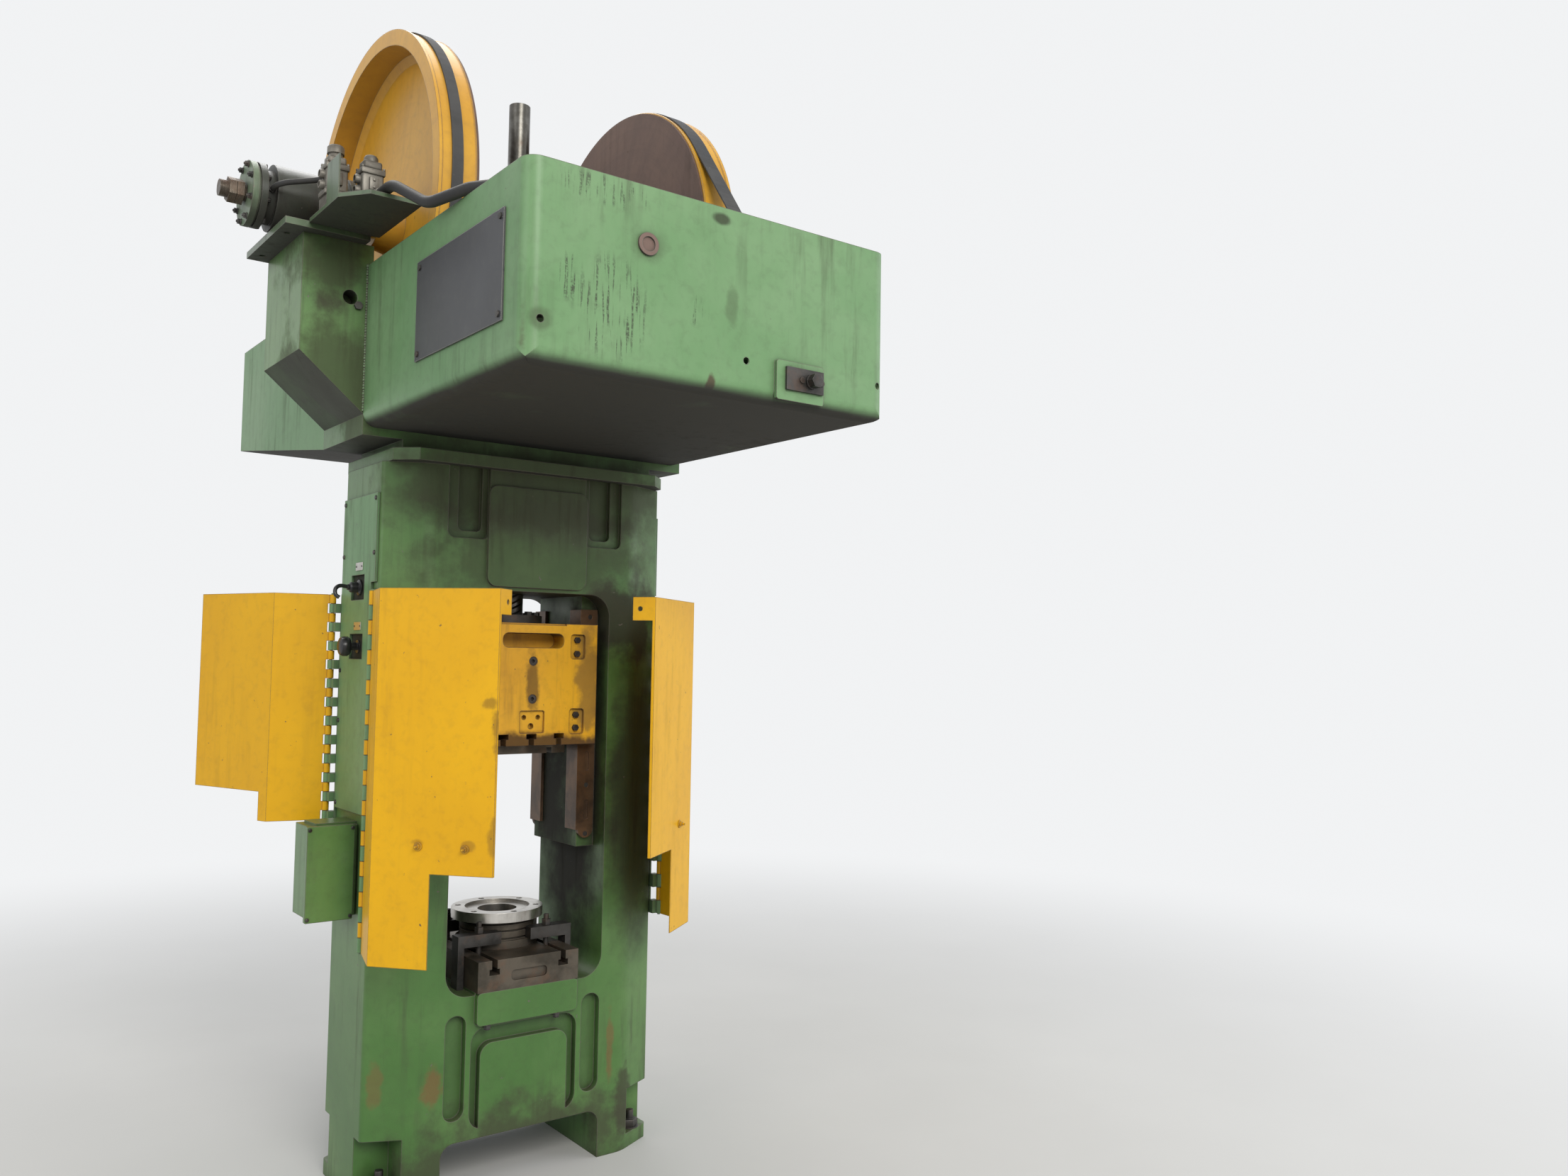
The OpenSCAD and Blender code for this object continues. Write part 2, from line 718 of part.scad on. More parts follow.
// Screws of the guide strips, the die ring, the nameplate and the tension plate
module frame_screws() {
  color([0.20, 0.20, 0.20]) {
    both_x() both_y() for (z = strip_screw_z) cy(225, rail_z0 + z, -strip_y + 2, -rail_y, 8);
    for (a = [30 : 60 : 330]) rotate([0, 0, a]) difference() {
      cz(die_r - 21, 0, die_z1 - 12, die_z1 - 2, 10);
      hex_z(die_r - 21, 0, die_z1 - 8, die_z1 - 1, 9);
    }
    for (y = plate_screw_y) for (z = plate_screw_z) {
      cx(y, z, -bx - 5, -bx, 4);
      cx(y, z, -bx - 9, -bx - 5, 8);
    }
    for (x = [-pull_s, pull_s]) {
      cy(pull_x + x, pull_z, -by1 - 18, -by1 + box_t, 6);
      cy(pull_x + x, pull_z, -by1 - 23, -by1 - 18, 8);
    }
  }
}

// Plan outline of the ram around the rails
module ram_plan() {
  c = run_c;
  polygon([[-ram_w / 2, -ram_y], [ram_w / 2, -ram_y], [ram_w / 2, -strip_y - c],
    [strip_in - c, -strip_y - c], [strip_in - c, strip_y + c], [ram_w / 2, strip_y + c],
    [ram_w / 2, ram_y], [-ram_w / 2, ram_y], [-ram_w / 2, strip_y + c],
    [-strip_in + c, strip_y + c], [-strip_in + c, -strip_y - c], [-ram_w / 2, -strip_y - c]]);
}

module ram() {
  color([0.85, 0.60, 0.18]) difference() {
    translate([0, 0, ram_z]) linear_extrude(height = ram_h) ram_plan();
    cz(0, 0, ram_z1 - 113, ram_z1 + 1, collar_r + run_c);
    both_y() {
      blk(-114, 114, -ram_y - 1, -ram_y + 12, ram_z1 - 5, ram_z1 + 1);
      pad_y(-105, 105, ram_z + 307, ram_z + 353, -ram_y - 1, -ram_y + 70, 20);
      both_x() pad_y(131, 182, ram_z + 273, ram_z + 352, -ram_y - 1, -ram_y + 10, 10);
      both_x() pad_y(131, 182, ram_z + 33, ram_z + 114, -ram_y - 1, -ram_y + 10, 10);
      pad_y(-42, 42, ram_z + 39, ram_z + 109, -ram_y - 1, -ram_y + 8, 6);
      cy(0, ram_z + 265, -ram_y - 1, -ram_y + 14, 14);
      cy(0, ram_z + 146, -ram_y - 1, -ram_y + 14, 14);
      for (x = [-24, 24]) cy(x, ram_z + 88, -ram_y, -ram_y + 24, 7);
      cy(0, ram_z + 60, -ram_y, -ram_y + 24, 9);
    }
    for (x = [-95, 0, 95]) {
      blk(x - 9, x + 9, -ram_y - 1, ram_y + 1, ram_z - 1, ram_z + 22);
      blk(x - 17, x + 17, -ram_y - 1, ram_y + 1, ram_z + 20, ram_z + 36);
    }
  }
}

// Grease ports and pocket bolts of the ram, bolts of its collar ring
module ram_bolts() {
  color([0.40, 0.33, 0.17]) {
    both_y() for (z = [265, 146]) difference() {
      cy(0, ram_z + z, -ram_y + 2, -ram_y + 14, 14);
      cy(0, ram_z + z, -ram_y + 1, -ram_y + 10, 6);
    }
    both_x() both_y() for (z = [290, 334, 53, 94]) hex_y(156, ram_z + z, -ram_y + 1, -ram_y + 10, 19);
    for (a = [22.5 : 45 : 337.5]) rotate([0, 0, a]) hex_z(98, 0, ring_z1, ring_z1 + 12, 22);
  }
}

module collar_ring() {
  color([0.28, 0.28, 0.28]) difference() {
    cz(0, 0, ram_z1, ring_z1, 118);
    cz(0, 0, ram_z1 - 1, ring_z1 + 1, screw_r + run_c);
  }
}

module thrust_pad() {
  color([0.60, 0.46, 0.24]) cz(0, 0, ram_z1 - 113, collar_z0 - run_c, collar_r - 3);
}

module die_plate() {
  color([0.34, 0.25, 0.19]) difference() {
    blk(-150, 150, -150, 150, ram_z - 30, ram_z);
    cz(0, 0, ram_z - 31, ram_z + 1, 40);
    both_x() blk(86, 104, -151, 151, ram_z - 31, ram_z - 12);
  }
}

module screw() {
  color([0.34, 0.33, 0.31]) {
    cz(0, 0, collar_z0, collar_z1 - 2 * run_c, collar_r);
    cz(0, 0, collar_z1 - 1, hub_z0, screw_r);
    cz(0, 0, hub_z0 - 1, hub_z1, seat_r);
    cz(0, 0, hub_z1 - 1, hub_z1 + 45, 45);
    cz(0, 0, hub_z1 + 44, tail_z1, tail_r);
  }
}

module flywheel() {
  z0 = fly_z - fly_h / 2;
  z1 = fly_z + fly_h / 2;
  color([0.30, 0.32, 0.30]) difference() {
    union() {
      cz(0, 0, hub_z0, hub_z1, 105);
      cz(0, 0, fly_z - 22, fly_z + 22, fly_r - 40);
      difference() {
        cz(0, 0, z0, z1, fly_r - 12);
        cz(0, 0, z0 - 1, z1 + 1, fly_r - 78);
      }
    }
    cz(0, 0, hub_z0 - 1, hub_z1 + 1, seat_r);
    for (a = [0 : 60 : 300]) rotate([0, 0, a]) cz(200, 0, fly_z - 30, fly_z + 30, 52);
  }
}

module flywheel_band() {
  color([0.36, 0.24, 0.15]) difference() {
    cz(0, 0, fly_z - fly_h / 2 + 6, fly_z + fly_h / 2 - 6, fly_r);
    cz(0, 0, fly_z - fly_h / 2, fly_z + fly_h / 2, fly_r - 12);
  }
}

module flywheel_nut() {
  color([0.24, 0.24, 0.25]) difference() {
    hex_z(0, 0, hub_z1, hub_z1 + 45, 130);
    cz(0, 0, hub_z1 - 1, hub_z1 + 46, 45);
  }
}

// Quill sleeve with its piston, on the right
module quill() {
  difference() {
    union() {
      cx(0, disc_z, quill_x0, quill_x1, quill_r);
      cx(0, disc_z, quill_x1 - 1, 816, 70 - run_c);
    }
    cx(0, disc_z, quill_x0 - 1, 774, 58);
  }
}

module quill_left() {
  color([0.45, 0.45, 0.44]) mirror([1, 0, 0]) quill();
}
module quill_right() {
  color([0.45, 0.45, 0.44]) quill();
}

module bearings() {
  for (x = [quill_x0 + 6, 730]) difference() {
    cx(0, disc_z, x, x + 36, 58);
    cx(0, disc_z, x - 1, x + 37, spindle_r + run_c);
  }
}

module bearings_left() {
  color([0.6, 0.6, 0.6]) mirror([1, 0, 0]) bearings();
}
module bearings_right() {
  color([0.6, 0.6, 0.6]) bearings();
}

// Piston rod with its two stop nuts, on the right
module rod() {
  cx(0, disc_z, 816, 930, rod_r);
  difference() {
    union() {
      hex_x(0, disc_z, 866, 886, 66);
      hex_x(0, disc_z, 887, 907, 66);
      cx(0, disc_z, 885, 888, 30);
    }
    cx(0, disc_z, 865, 908, rod_r + thread_c);
  }
}

module rod_left() {
  color([0.35, 0.28, 0.22]) mirror([1, 0, 0]) rod();
}
module rod_right() {
  color([0.35, 0.28, 0.22]) rod();
}

// Section of a friction disc, x is the radius and y runs from the facing outward
module disc_section() {
  polygon([[spindle_r, 24], [spindle_r, disc_w - 10], [78, disc_w - 10], [96, 34], [disc_r - 70, 30],
    [disc_r - 47, 46], [disc_r - 47, disc_w], [disc_r, disc_w], [disc_r, disc_w - 10],
    [disc_r - 3, disc_w - 12], [disc_r - 3, 12], [disc_r, 10], [disc_r - 2, 8], [120, 8], [100, 24]]);
}

module friction_disc() {
  translate([face_x, 0, disc_z]) rotate([0, 90, 0]) rotate_extrude($fn = 180) disc_section();
}

module disc_left() {
  color([0.88, 0.62, 0.17]) mirror([1, 0, 0]) friction_disc();
}
module disc_right() {
  color([0.88, 0.62, 0.17]) friction_disc();
}

module facing() {
  difference() {
    cx(0, disc_z, face_x, face_x + 8, disc_r - 6);
    cx(0, disc_z, face_x - 1, face_x + 9, 130);
  }
}

module facing_left() {
  color([0.50, 0.36, 0.22]) mirror([1, 0, 0]) facing();
}
module facing_right() {
  color([0.50, 0.36, 0.22]) facing();
}

// Spindle of a disc with its spacer collar and end nut, on the right
module spindle() {
  cx(0, disc_z, face_x + 8, 768, spindle_r);
  difference() {
    cx(0, disc_z, face_x + disc_w - 10, quill_x0 - 8, 50);
    cx(0, disc_z, face_x, 770, spindle_r + thread_c);
  }
  difference() {
    hex_x(0, disc_z, face_x + 9, face_x + 24, 90);
    cx(0, disc_z, face_x + 7, face_x + 25, spindle_r + thread_c);
  }
}

module spindle_left() {
  color([0.42, 0.42, 0.42]) mirror([1, 0, 0]) spindle();
}
module spindle_right() {
  color([0.42, 0.42, 0.42]) spindle();
}

module pulley(y, z, x0, x1) {
  difference() {
    cx(y, z, x0, x1, pulley_r);
    cx(y, z, x0 - 1, x1 + 1, 19);
  }
}

module pulley_left() {
  color([0.40, 0.40, 0.38]) pulley(motor_y, rear_motor_z, -face_x - 90, -face_x - 42);
}
module pulley_right() {
  color([0.40, 0.40, 0.38]) pulley(-motor_y, motor_z, face_x + 14, face_x + 84);
}
module shaft_left() {
  color([0.5, 0.5, 0.5]) cx(motor_y, rear_motor_z, -face_x - 96, 181 - motor_x, 19);
}
module shaft_right() {
  color([0.5, 0.5, 0.5]) cx(-motor_y, motor_z, motor_x - 181, face_x + 96, 19);
}

module hook_lever() {
  color([0.12, 0.12, 0.12]) {
    cx(0, 1800, -hx - 26, -hx, 16);
    cx(0, 1800, -hx - 40, -hx - 26, 9);
    translate([-hx - 40, 0, 1800]) rotate([25, 0, 0]) translate([0, -8, -10]) cube([12, 16, 88]);
  }
}

module side_knob() {
  color([0.10, 0.10, 0.10]) {
    cx(0, 1620, -hx - 26, -hx, 12);
    cx(0, 1620, -hx - 60, -hx - 26, 30);
  }
}

column();
guide_strips();
nut();
bolster();
die_holder();
die_ring();
clamps();
frame_bolts();
frame_screws();
head();
front_box();
rear_box();
ear_plates();
nameplate();
sight_plug();
tension_yoke();
tension_bolt();
housings();
barrels();
caps();
motors();
motor_bases();
belts();
valve_plate();
valves();
side_covers();
side_tags();
terminal_box();
hinges();
ram();
ram_bolts();
collar_ring();
thrust_pad();
die_plate();
screw();
flywheel();
flywheel_band();
flywheel_nut();
quill_left();
bearings_left();
rod_left();
quill_right();
bearings_right();
rod_right();
disc_left();
facing_left();
spindle_left();
disc_right();
facing_right();
spindle_right();
pulley_left();
shaft_left();
pulley_right();
shaft_right();
door_fl();
door_fr();
door_rl();
door_rr();
hook_lever();
side_knob();
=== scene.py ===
import json
import math
import bmesh
import bpy
from mathutils import Matrix, Vector


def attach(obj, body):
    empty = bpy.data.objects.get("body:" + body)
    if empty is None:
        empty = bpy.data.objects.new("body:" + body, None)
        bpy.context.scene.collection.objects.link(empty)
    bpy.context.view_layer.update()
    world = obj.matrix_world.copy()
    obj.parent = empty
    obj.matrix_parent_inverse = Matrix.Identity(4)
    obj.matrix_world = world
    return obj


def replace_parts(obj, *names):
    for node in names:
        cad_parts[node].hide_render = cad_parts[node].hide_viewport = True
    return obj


# Friction screw press: finishes of its nodes, small fittings, hoses, motors, floor and lamps.

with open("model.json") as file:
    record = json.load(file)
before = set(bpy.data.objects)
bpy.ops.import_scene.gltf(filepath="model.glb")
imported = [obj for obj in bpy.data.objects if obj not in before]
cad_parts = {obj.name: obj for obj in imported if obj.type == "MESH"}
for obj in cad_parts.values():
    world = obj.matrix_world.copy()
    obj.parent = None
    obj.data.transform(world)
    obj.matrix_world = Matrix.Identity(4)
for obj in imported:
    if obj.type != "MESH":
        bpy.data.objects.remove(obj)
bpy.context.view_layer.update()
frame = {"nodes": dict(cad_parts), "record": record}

ORIGIN = (0.0, 0.0, 0.0)
X_AXIS = (1, 0, 0)
Y_AXIS = (0, 1, 0)
UP = (0, 0, 1)
LEFT = (-1, 0, 0)
FRONT = (0, -1, 0)
DOWN = (0, 0, -1)

# The camera stands at eye height in front of the left corner.
CAM_PLACE = (-1.742, -3.760, 1.600)
CAM_RIGHT = (0.7911, -0.6115, 0.0154)
CAM_DOWN = (0.0478, 0.0368, -0.9982)
CAM_AHEAD = (0.6098, 0.7904, 0.0583)
CAM_SENSOR_MM = 36
CAM_LENS_MM = 28.13
CAM_REACH = 200


def link(ob):
    bpy.context.scene.collection.objects.link(ob)
    return ob


def camera():
    data = bpy.data.cameras.new("camera")
    data.sensor_width = CAM_SENSOR_MM
    data.lens = CAM_LENS_MM
    data.clip_end = CAM_REACH
    ob = link(bpy.data.objects.new("camera", data))
    turn = Matrix((CAM_RIGHT, [-v for v in CAM_DOWN], [-v for v in CAM_AHEAD])).transposed()
    ob.matrix_world = Matrix.Translation(CAM_PLACE) @ turn.to_4x4()
    bpy.context.scene.camera = ob
    bpy.context.scene.view_settings.view_transform = "Standard"


camera()


# Short calls for the nodes of a material

MIX_FACTOR, MIX_A, MIX_B, MIX_RESULT = 0, 6, 7, 2
SINGLE_VALUED = ("LENGTH", "DOT_PRODUCT")


def rgba(c):
    return (c[0], c[1], c[2], 1.0)


def shade(c, times):
    """A lighter or darker tone."""
    return [min(1, v * times) for v in c]


class Tree:
    """A node tree with short calls for the nodes that the finishes use."""

    def __init__(self, tree):
        self.tree = tree

    def node(self, kind, links=(), **values):
        n = self.tree.nodes.new(kind)
        for key, value in values.items():
            setattr(n, key, value)
        for socket, value in dict(links).items():
            self.feed(n, socket, value)
        return n

    def feed(self, node, socket, value):
        target = node.inputs[socket]
        if isinstance(value, bpy.types.NodeSocket):
            self.tree.links.new(value, target)
        else:
            target.default_value = value

    def math(self, op, a, b=0.0, clamp=False):
        return self.node("ShaderNodeMath", {0: a, 1: b}, operation=op, use_clamp=clamp).outputs[0]

    def times(self, a, b, clamp=False):
        return self.math("MULTIPLY", a, b, clamp)

    def plus(self, a, b, clamp=False):
        return self.math("ADD", a, b, clamp)

    def less(self, a, b, clamp=False):
        return self.math("SUBTRACT", a, b, clamp)

    def vector(self, op, a, b=ORIGIN):
        n = self.node("ShaderNodeVectorMath", {0: a, 1: b}, operation=op)
        return n.outputs["Value" if op in SINGLE_VALUED else "Vector"]

    def scaled(self, a, by):
        return self.node("ShaderNodeVectorMath", {0: a, "Scale": by}, operation="SCALE").outputs[0]

    def combine(self, x, y, z):
        return self.node("ShaderNodeCombineXYZ", {0: x, 1: y, 2: z}).outputs[0]

    def parts(self, a):
        return self.node("ShaderNodeSeparateXYZ", {0: a}).outputs

    def mix(self, factor, a, b):
        return self.node("ShaderNodeMix", {MIX_FACTOR: factor, MIX_A: a, MIX_B: b},
                         data_type="RGBA").outputs[MIX_RESULT]

    def lay(self, colour, tone, mask, amount=None):
        """Lays a tone over a colour where a mask says so."""
        if amount is not None:
            mask = self.times(mask, amount)
        return self.mix(mask, colour, rgba(tone))

    def ramp(self, value, low, high):
        return self.node("ShaderNodeMapRange", {"Value": value, "From Min": low, "From Max": high},
                         interpolation_type="SMOOTHSTEP").outputs[0]

    def noise(self, where, scale, detail=4.0, rough=0.55, warp=0.0):
        n = self.node("ShaderNodeTexNoise", {"Vector": where, "Scale": scale, "Detail": detail,
                                             "Roughness": rough, "Distortion": warp})
        return n.outputs["Fac"]

    def place(self):
        return self.node("ShaderNodeTexCoord").outputs["Object"]

    def geometry(self, output):
        return self.node("ShaderNodeNewGeometry").outputs[output]

    def bevel(self, radius, samples):
        return self.node("ShaderNodeBevel", {"Radius": radius}, samples=samples).outputs[0]

    def bump(self, height, strength, distance, normal):
        return self.node("ShaderNodeBump", {"Height": height, "Strength": strength,
                                            "Distance": distance, "Normal": normal}).outputs[0]

    def use(self, name, **values):
        """Places an effect group and gives its outputs."""
        n = self.node("ShaderNodeGroup", node_tree=EFFECTS[name])
        for key, value in values.items():
            self.feed(n, key, value)
        return n.outputs


# Effects that several finishes share, each one a node group

EFFECTS = {}
MASK = {"Mask": "Float"}
HEIGHT = {"Height": "Float"}
WEAR_SAMPLES = 4
HOLLOW_SAMPLES = 4
EDGE_SAMPLES = 6
SPOT = {"Centre": ORIGIN, "Reach": (0.2, 0.2, 0.2)}


def effect(name, inputs, outputs):
    """A new effect group: gives its tree, its input sockets and a call that feeds its outputs."""
    g = bpy.data.node_groups.new(name, "ShaderNodeTree")
    for label, value in inputs.items():
        kind = "Vector" if isinstance(value, tuple) else "Float"
        s = g.interface.new_socket(label, in_out="INPUT", socket_type="NodeSocket" + kind)
        s.default_value = value
    for label, kind in outputs.items():
        g.interface.new_socket(label, in_out="OUTPUT", socket_type="NodeSocket" + kind)
    t = Tree(g)
    start = t.node("NodeGroupInput")
    end = t.node("NodeGroupOutput")
    EFFECTS[name] = g

    def give(**values):
        for key, value in values.items():
            t.feed(end, key, value)

    return t, start.outputs, give


def edge_wear():
    """Chips along edges: where the rounded normal leaves the true one, broken up by noise."""
    t, i, give = effect("edge wear", {"Radius": 0.004, "Amount": 0.5, "Breakup": 18.0}, MASK)
    dot = t.vector("DOT_PRODUCT", t.bevel(i["Radius"], WEAR_SAMPLES), t.geometry("True Normal"))
    edge = t.times(t.less(1.0, dot), 9.0, clamp=True)
    chip = t.noise(t.place(), i["Breakup"], detail=6.0, rough=0.65)
    need = t.less(1.05, i["Amount"])
    give(Mask=t.ramp(t.times(edge, t.plus(chip, 0.35)), low=need, high=t.plus(need, 0.12)))


def hollow_dirt_and_shade():
    """Dirt and painted shade in hollows and corners, where the ambient occlusion is low, in uneven
    patches.
    """
    t, i, give = effect("hollow dirt and shade", {"Reach": 0.06, "Amount": 0.6}, MASK)
    open_sky = t.node("ShaderNodeAmbientOcclusion", {"Distance": i["Reach"]},
                      samples=HOLLOW_SAMPLES).outputs["AO"]
    patch = t.noise(t.place(), 7.0, detail=5.0, rough=0.6)
    give(Mask=t.times(t.times(t.less(1.0, open_sky), t.plus(patch, 0.45)), i["Amount"], clamp=True))


def runs():
    """Streaks that run down: noise drawn out along Z, kept to wide clouds."""
    t, i, give = effect("runs", {"Width": 26.0, "Amount": 0.5, "Seed": 0.0}, MASK)
    where = t.place()
    x, y, z = t.parts(where)
    lines = t.noise(t.combine(t.plus(x, i["Seed"]), y, t.times(z, 0.09)), i["Width"],
                    detail=5.0, rough=0.62)
    cloud = t.noise(where, 2.3, detail=3.0, rough=0.5)
    both = t.times(t.ramp(lines, low=0.48, high=0.72), t.ramp(cloud, low=0.38, high=0.66))
    give(Mask=t.times(both, i["Amount"], clamp=True))


def blotch():
    """Uneven patches of any size."""
    t, i, give = effect("blotch", {"Size": 3.0, "Low": 0.45, "High": 0.65, "Seed": 0.0}, MASK)
    where = t.vector("ADD", t.place(), i["Seed"])
    cloud = t.noise(where, i["Size"], detail=6.0, rough=0.6, warp=0.3)
    give(Mask=t.ramp(cloud, i["Low"], i["High"]))


def distance(t, where, i):
    """How far a point is from a spot's centre, in shares of the spot's reach."""
    off = t.vector("SUBTRACT", where, i["Centre"])
    return t.vector("LENGTH", t.vector("DIVIDE", off, i["Reach"]))


def stain_and_shade():
    """One stain or patch of painted shade at a place, with a ragged edge."""
    t, i, give = effect("stain_and_shade", {**SPOT, "Ragged": 0.5, "Fine": 9.0}, MASK)
    where = t.place()
    torn = t.times(t.less(t.noise(where, i["Fine"], detail=6.0, rough=0.62), 0.5), i["Ragged"])
    far = t.plus(distance(t, where, i), t.times(torn, 3.0))
    give(Mask=t.less(1.0, t.ramp(far, low=0.45, high=1.0)))


def scuff():
    """Thin upright rub marks at a place, broken into specks."""
    t, i, give = effect("scuff", {**SPOT, "Fine": 75.0}, MASK)
    where = t.place()
    drawn = t.vector("MULTIPLY", where, (1.0, 1.0, 0.08))
    line = t.ramp(t.noise(drawn, i["Fine"], detail=2.0, rough=0.6), low=0.52, high=0.60)
    speck = t.ramp(t.noise(where, 190.0, detail=3.0, rough=0.7), low=0.32, high=0.58)
    near = t.less(1.0, t.ramp(distance(t, where, i), low=0.55, high=1.0))
    give(Mask=t.times(t.times(line, speck), near))


def scratches():
    """Fine scratches, drawn out along one direction."""
    t, i, give = effect("scratches", {"Along": (1, 1, 1), "Fine": 60.0, "Amount": 0.5}, MASK)
    thin = t.noise(t.vector("MULTIPLY", t.place(), i["Along"]), i["Fine"],
                   detail=3.0, rough=0.7, warp=0.4)
    need = t.less(0.86, t.times(i["Amount"], 0.2))
    give(Mask=t.ramp(thin, low=need, high=t.plus(need, 0.05)))


def skin():
    """The relief of a surface: fine grain on wide waves."""
    t, i, give = effect("skin", {"Grain": 260.0, "Waves": 14.0, "Depth": 0.5}, HEIGHT)
    fine = t.noise(t.place(), i["Grain"], detail=3.0, rough=0.6)
    wide = t.noise(t.place(), i["Waves"], detail=3.0, rough=0.5)
    give(Height=t.times(t.plus(fine, t.times(wide, 1.6)), i["Depth"]))


def soft_edge():
    """A normal that rounds the edges off a little."""
    t, i, give = effect("soft edge", {"Radius": 0.003}, {"Normal": "Vector"})
    give(Normal=t.bevel(i["Radius"], EDGE_SAMPLES))


def underside_shade():
    """Painted shade with grime on faces that look down."""
    t, i, give = effect("underside_shade", {"Amount": 0.8}, MASK)
    down = t.times(t.parts(t.geometry("Normal"))[2], -1.0)
    patch = t.plus(t.times(t.noise(t.place(), 5.0, detail=5.0, rough=0.6), 0.5), 0.85)
    give(Mask=t.times(t.times(t.ramp(down, low=0.25, high=0.85), patch), i["Amount"], clamp=True))


def settled_dust():
    """Dust on faces that look up."""
    t, i, give = effect("settled dust", {"Amount": 0.5}, MASK)
    up = t.parts(t.geometry("Normal"))[2]
    patch = t.plus(t.noise(t.place(), 9.0, detail=5.0, rough=0.6), 0.35)
    give(Mask=t.times(t.times(t.ramp(up, low=0.45, high=0.9), patch), i["Amount"], clamp=True))


def thread():
    """The relief of a screw thread round an axis; beyond End the bar is plain."""
    t, i, give = effect("thread", {"Centre": ORIGIN, "Along": UP, "Side": X_AXIS, "Pitch": 0.03,
                                   "Lead": 0.03, "End": 10.0}, HEIGHT)
    off = t.vector("SUBTRACT", t.place(), i["Centre"])
    third = t.vector("CROSS_PRODUCT", i["Along"], i["Side"])
    far, a, b = (t.vector("DOT_PRODUCT", off, axis) for axis in (i["Along"], i["Side"], third))
    angle = t.math("DIVIDE", t.math("ARCTAN2", b, a), 2 * math.pi)
    climb = t.math("DIVIDE", t.less(far, t.times(angle, i["Lead"])), i["Pitch"])
    wave = t.math("PINGPONG", climb, 0.5)
    give(Height=t.math("MAXIMUM", t.ramp(wave, low=0.12, high=0.34),
                       t.math("GREATER_THAN", far, i["End"])))


def rings():
    """Marks of turning round an axis, and marks that run out from it like spokes."""
    t, i, give = effect("rings", {"Centre": ORIGIN, "Along": X_AXIS, "Side": Y_AXIS, "Fine": 90.0,
                                  "Spread": 1.5}, {"Mask": "Float", "Spokes": "Float"})
    off = t.vector("SUBTRACT", t.place(), i["Centre"])
    third = t.vector("CROSS_PRODUCT", i["Along"], i["Side"])
    a, b = (t.vector("DOT_PRODUCT", off, axis) for axis in (i["Side"], third))
    far = t.math("SQRT", t.plus(t.times(a, a), t.times(b, b)))
    some = t.math("MAXIMUM", far, 0.001)
    turn = t.combine(t.math("DIVIDE", a, some), t.math("DIVIDE", b, some), 0.0)
    lane = t.combine(t.times(far, i["Fine"]), 0.0, 0.0)
    lane = t.vector("ADD", lane, t.scaled(turn, i["Spread"]))
    ray = t.vector("ADD", t.scaled(turn, 7.0), t.combine(t.times(far, 2.5), 0.0, 0.0))
    give(Mask=t.ramp(t.noise(lane, 1.0, rough=0.65), low=0.42, high=0.68),
         Spokes=t.ramp(t.noise(ray, 1.0, rough=0.6), low=0.45, high=0.7))


for build in (edge_wear, hollow_dirt_and_shade, runs, blotch, stain_and_shade, scuff, scratches, skin, soft_edge,
              underside_shade, settled_dust, thread, rings):
    build()


# The two kinds of finish

COAT_ROUGHNESS = 0.25
BARE_METALLIC = 0.35
CHIP_DEPTH = 0.35
SCRATCH_DEPTH = 0.2
STEEL_ROUND_BY = 0.0015
# How much each kind of mark adds to the roughness
DIRT_DULLS, MARK_DULLS, BARE_DULLS, OIL_DULLS = 0.3, 0.4, 0.15, 0.45


def new_material(name):
    m = bpy.data.materials.new(name)
    m.use_nodes = True
    return m, Tree(m.node_tree), m.node_tree.nodes["Principled BSDF"]


def turning_marks(t, wheel):
    centre, along, side, fine = wheel
    return t.use("rings", Centre=centre, Along=along, Side=side, Fine=fine)


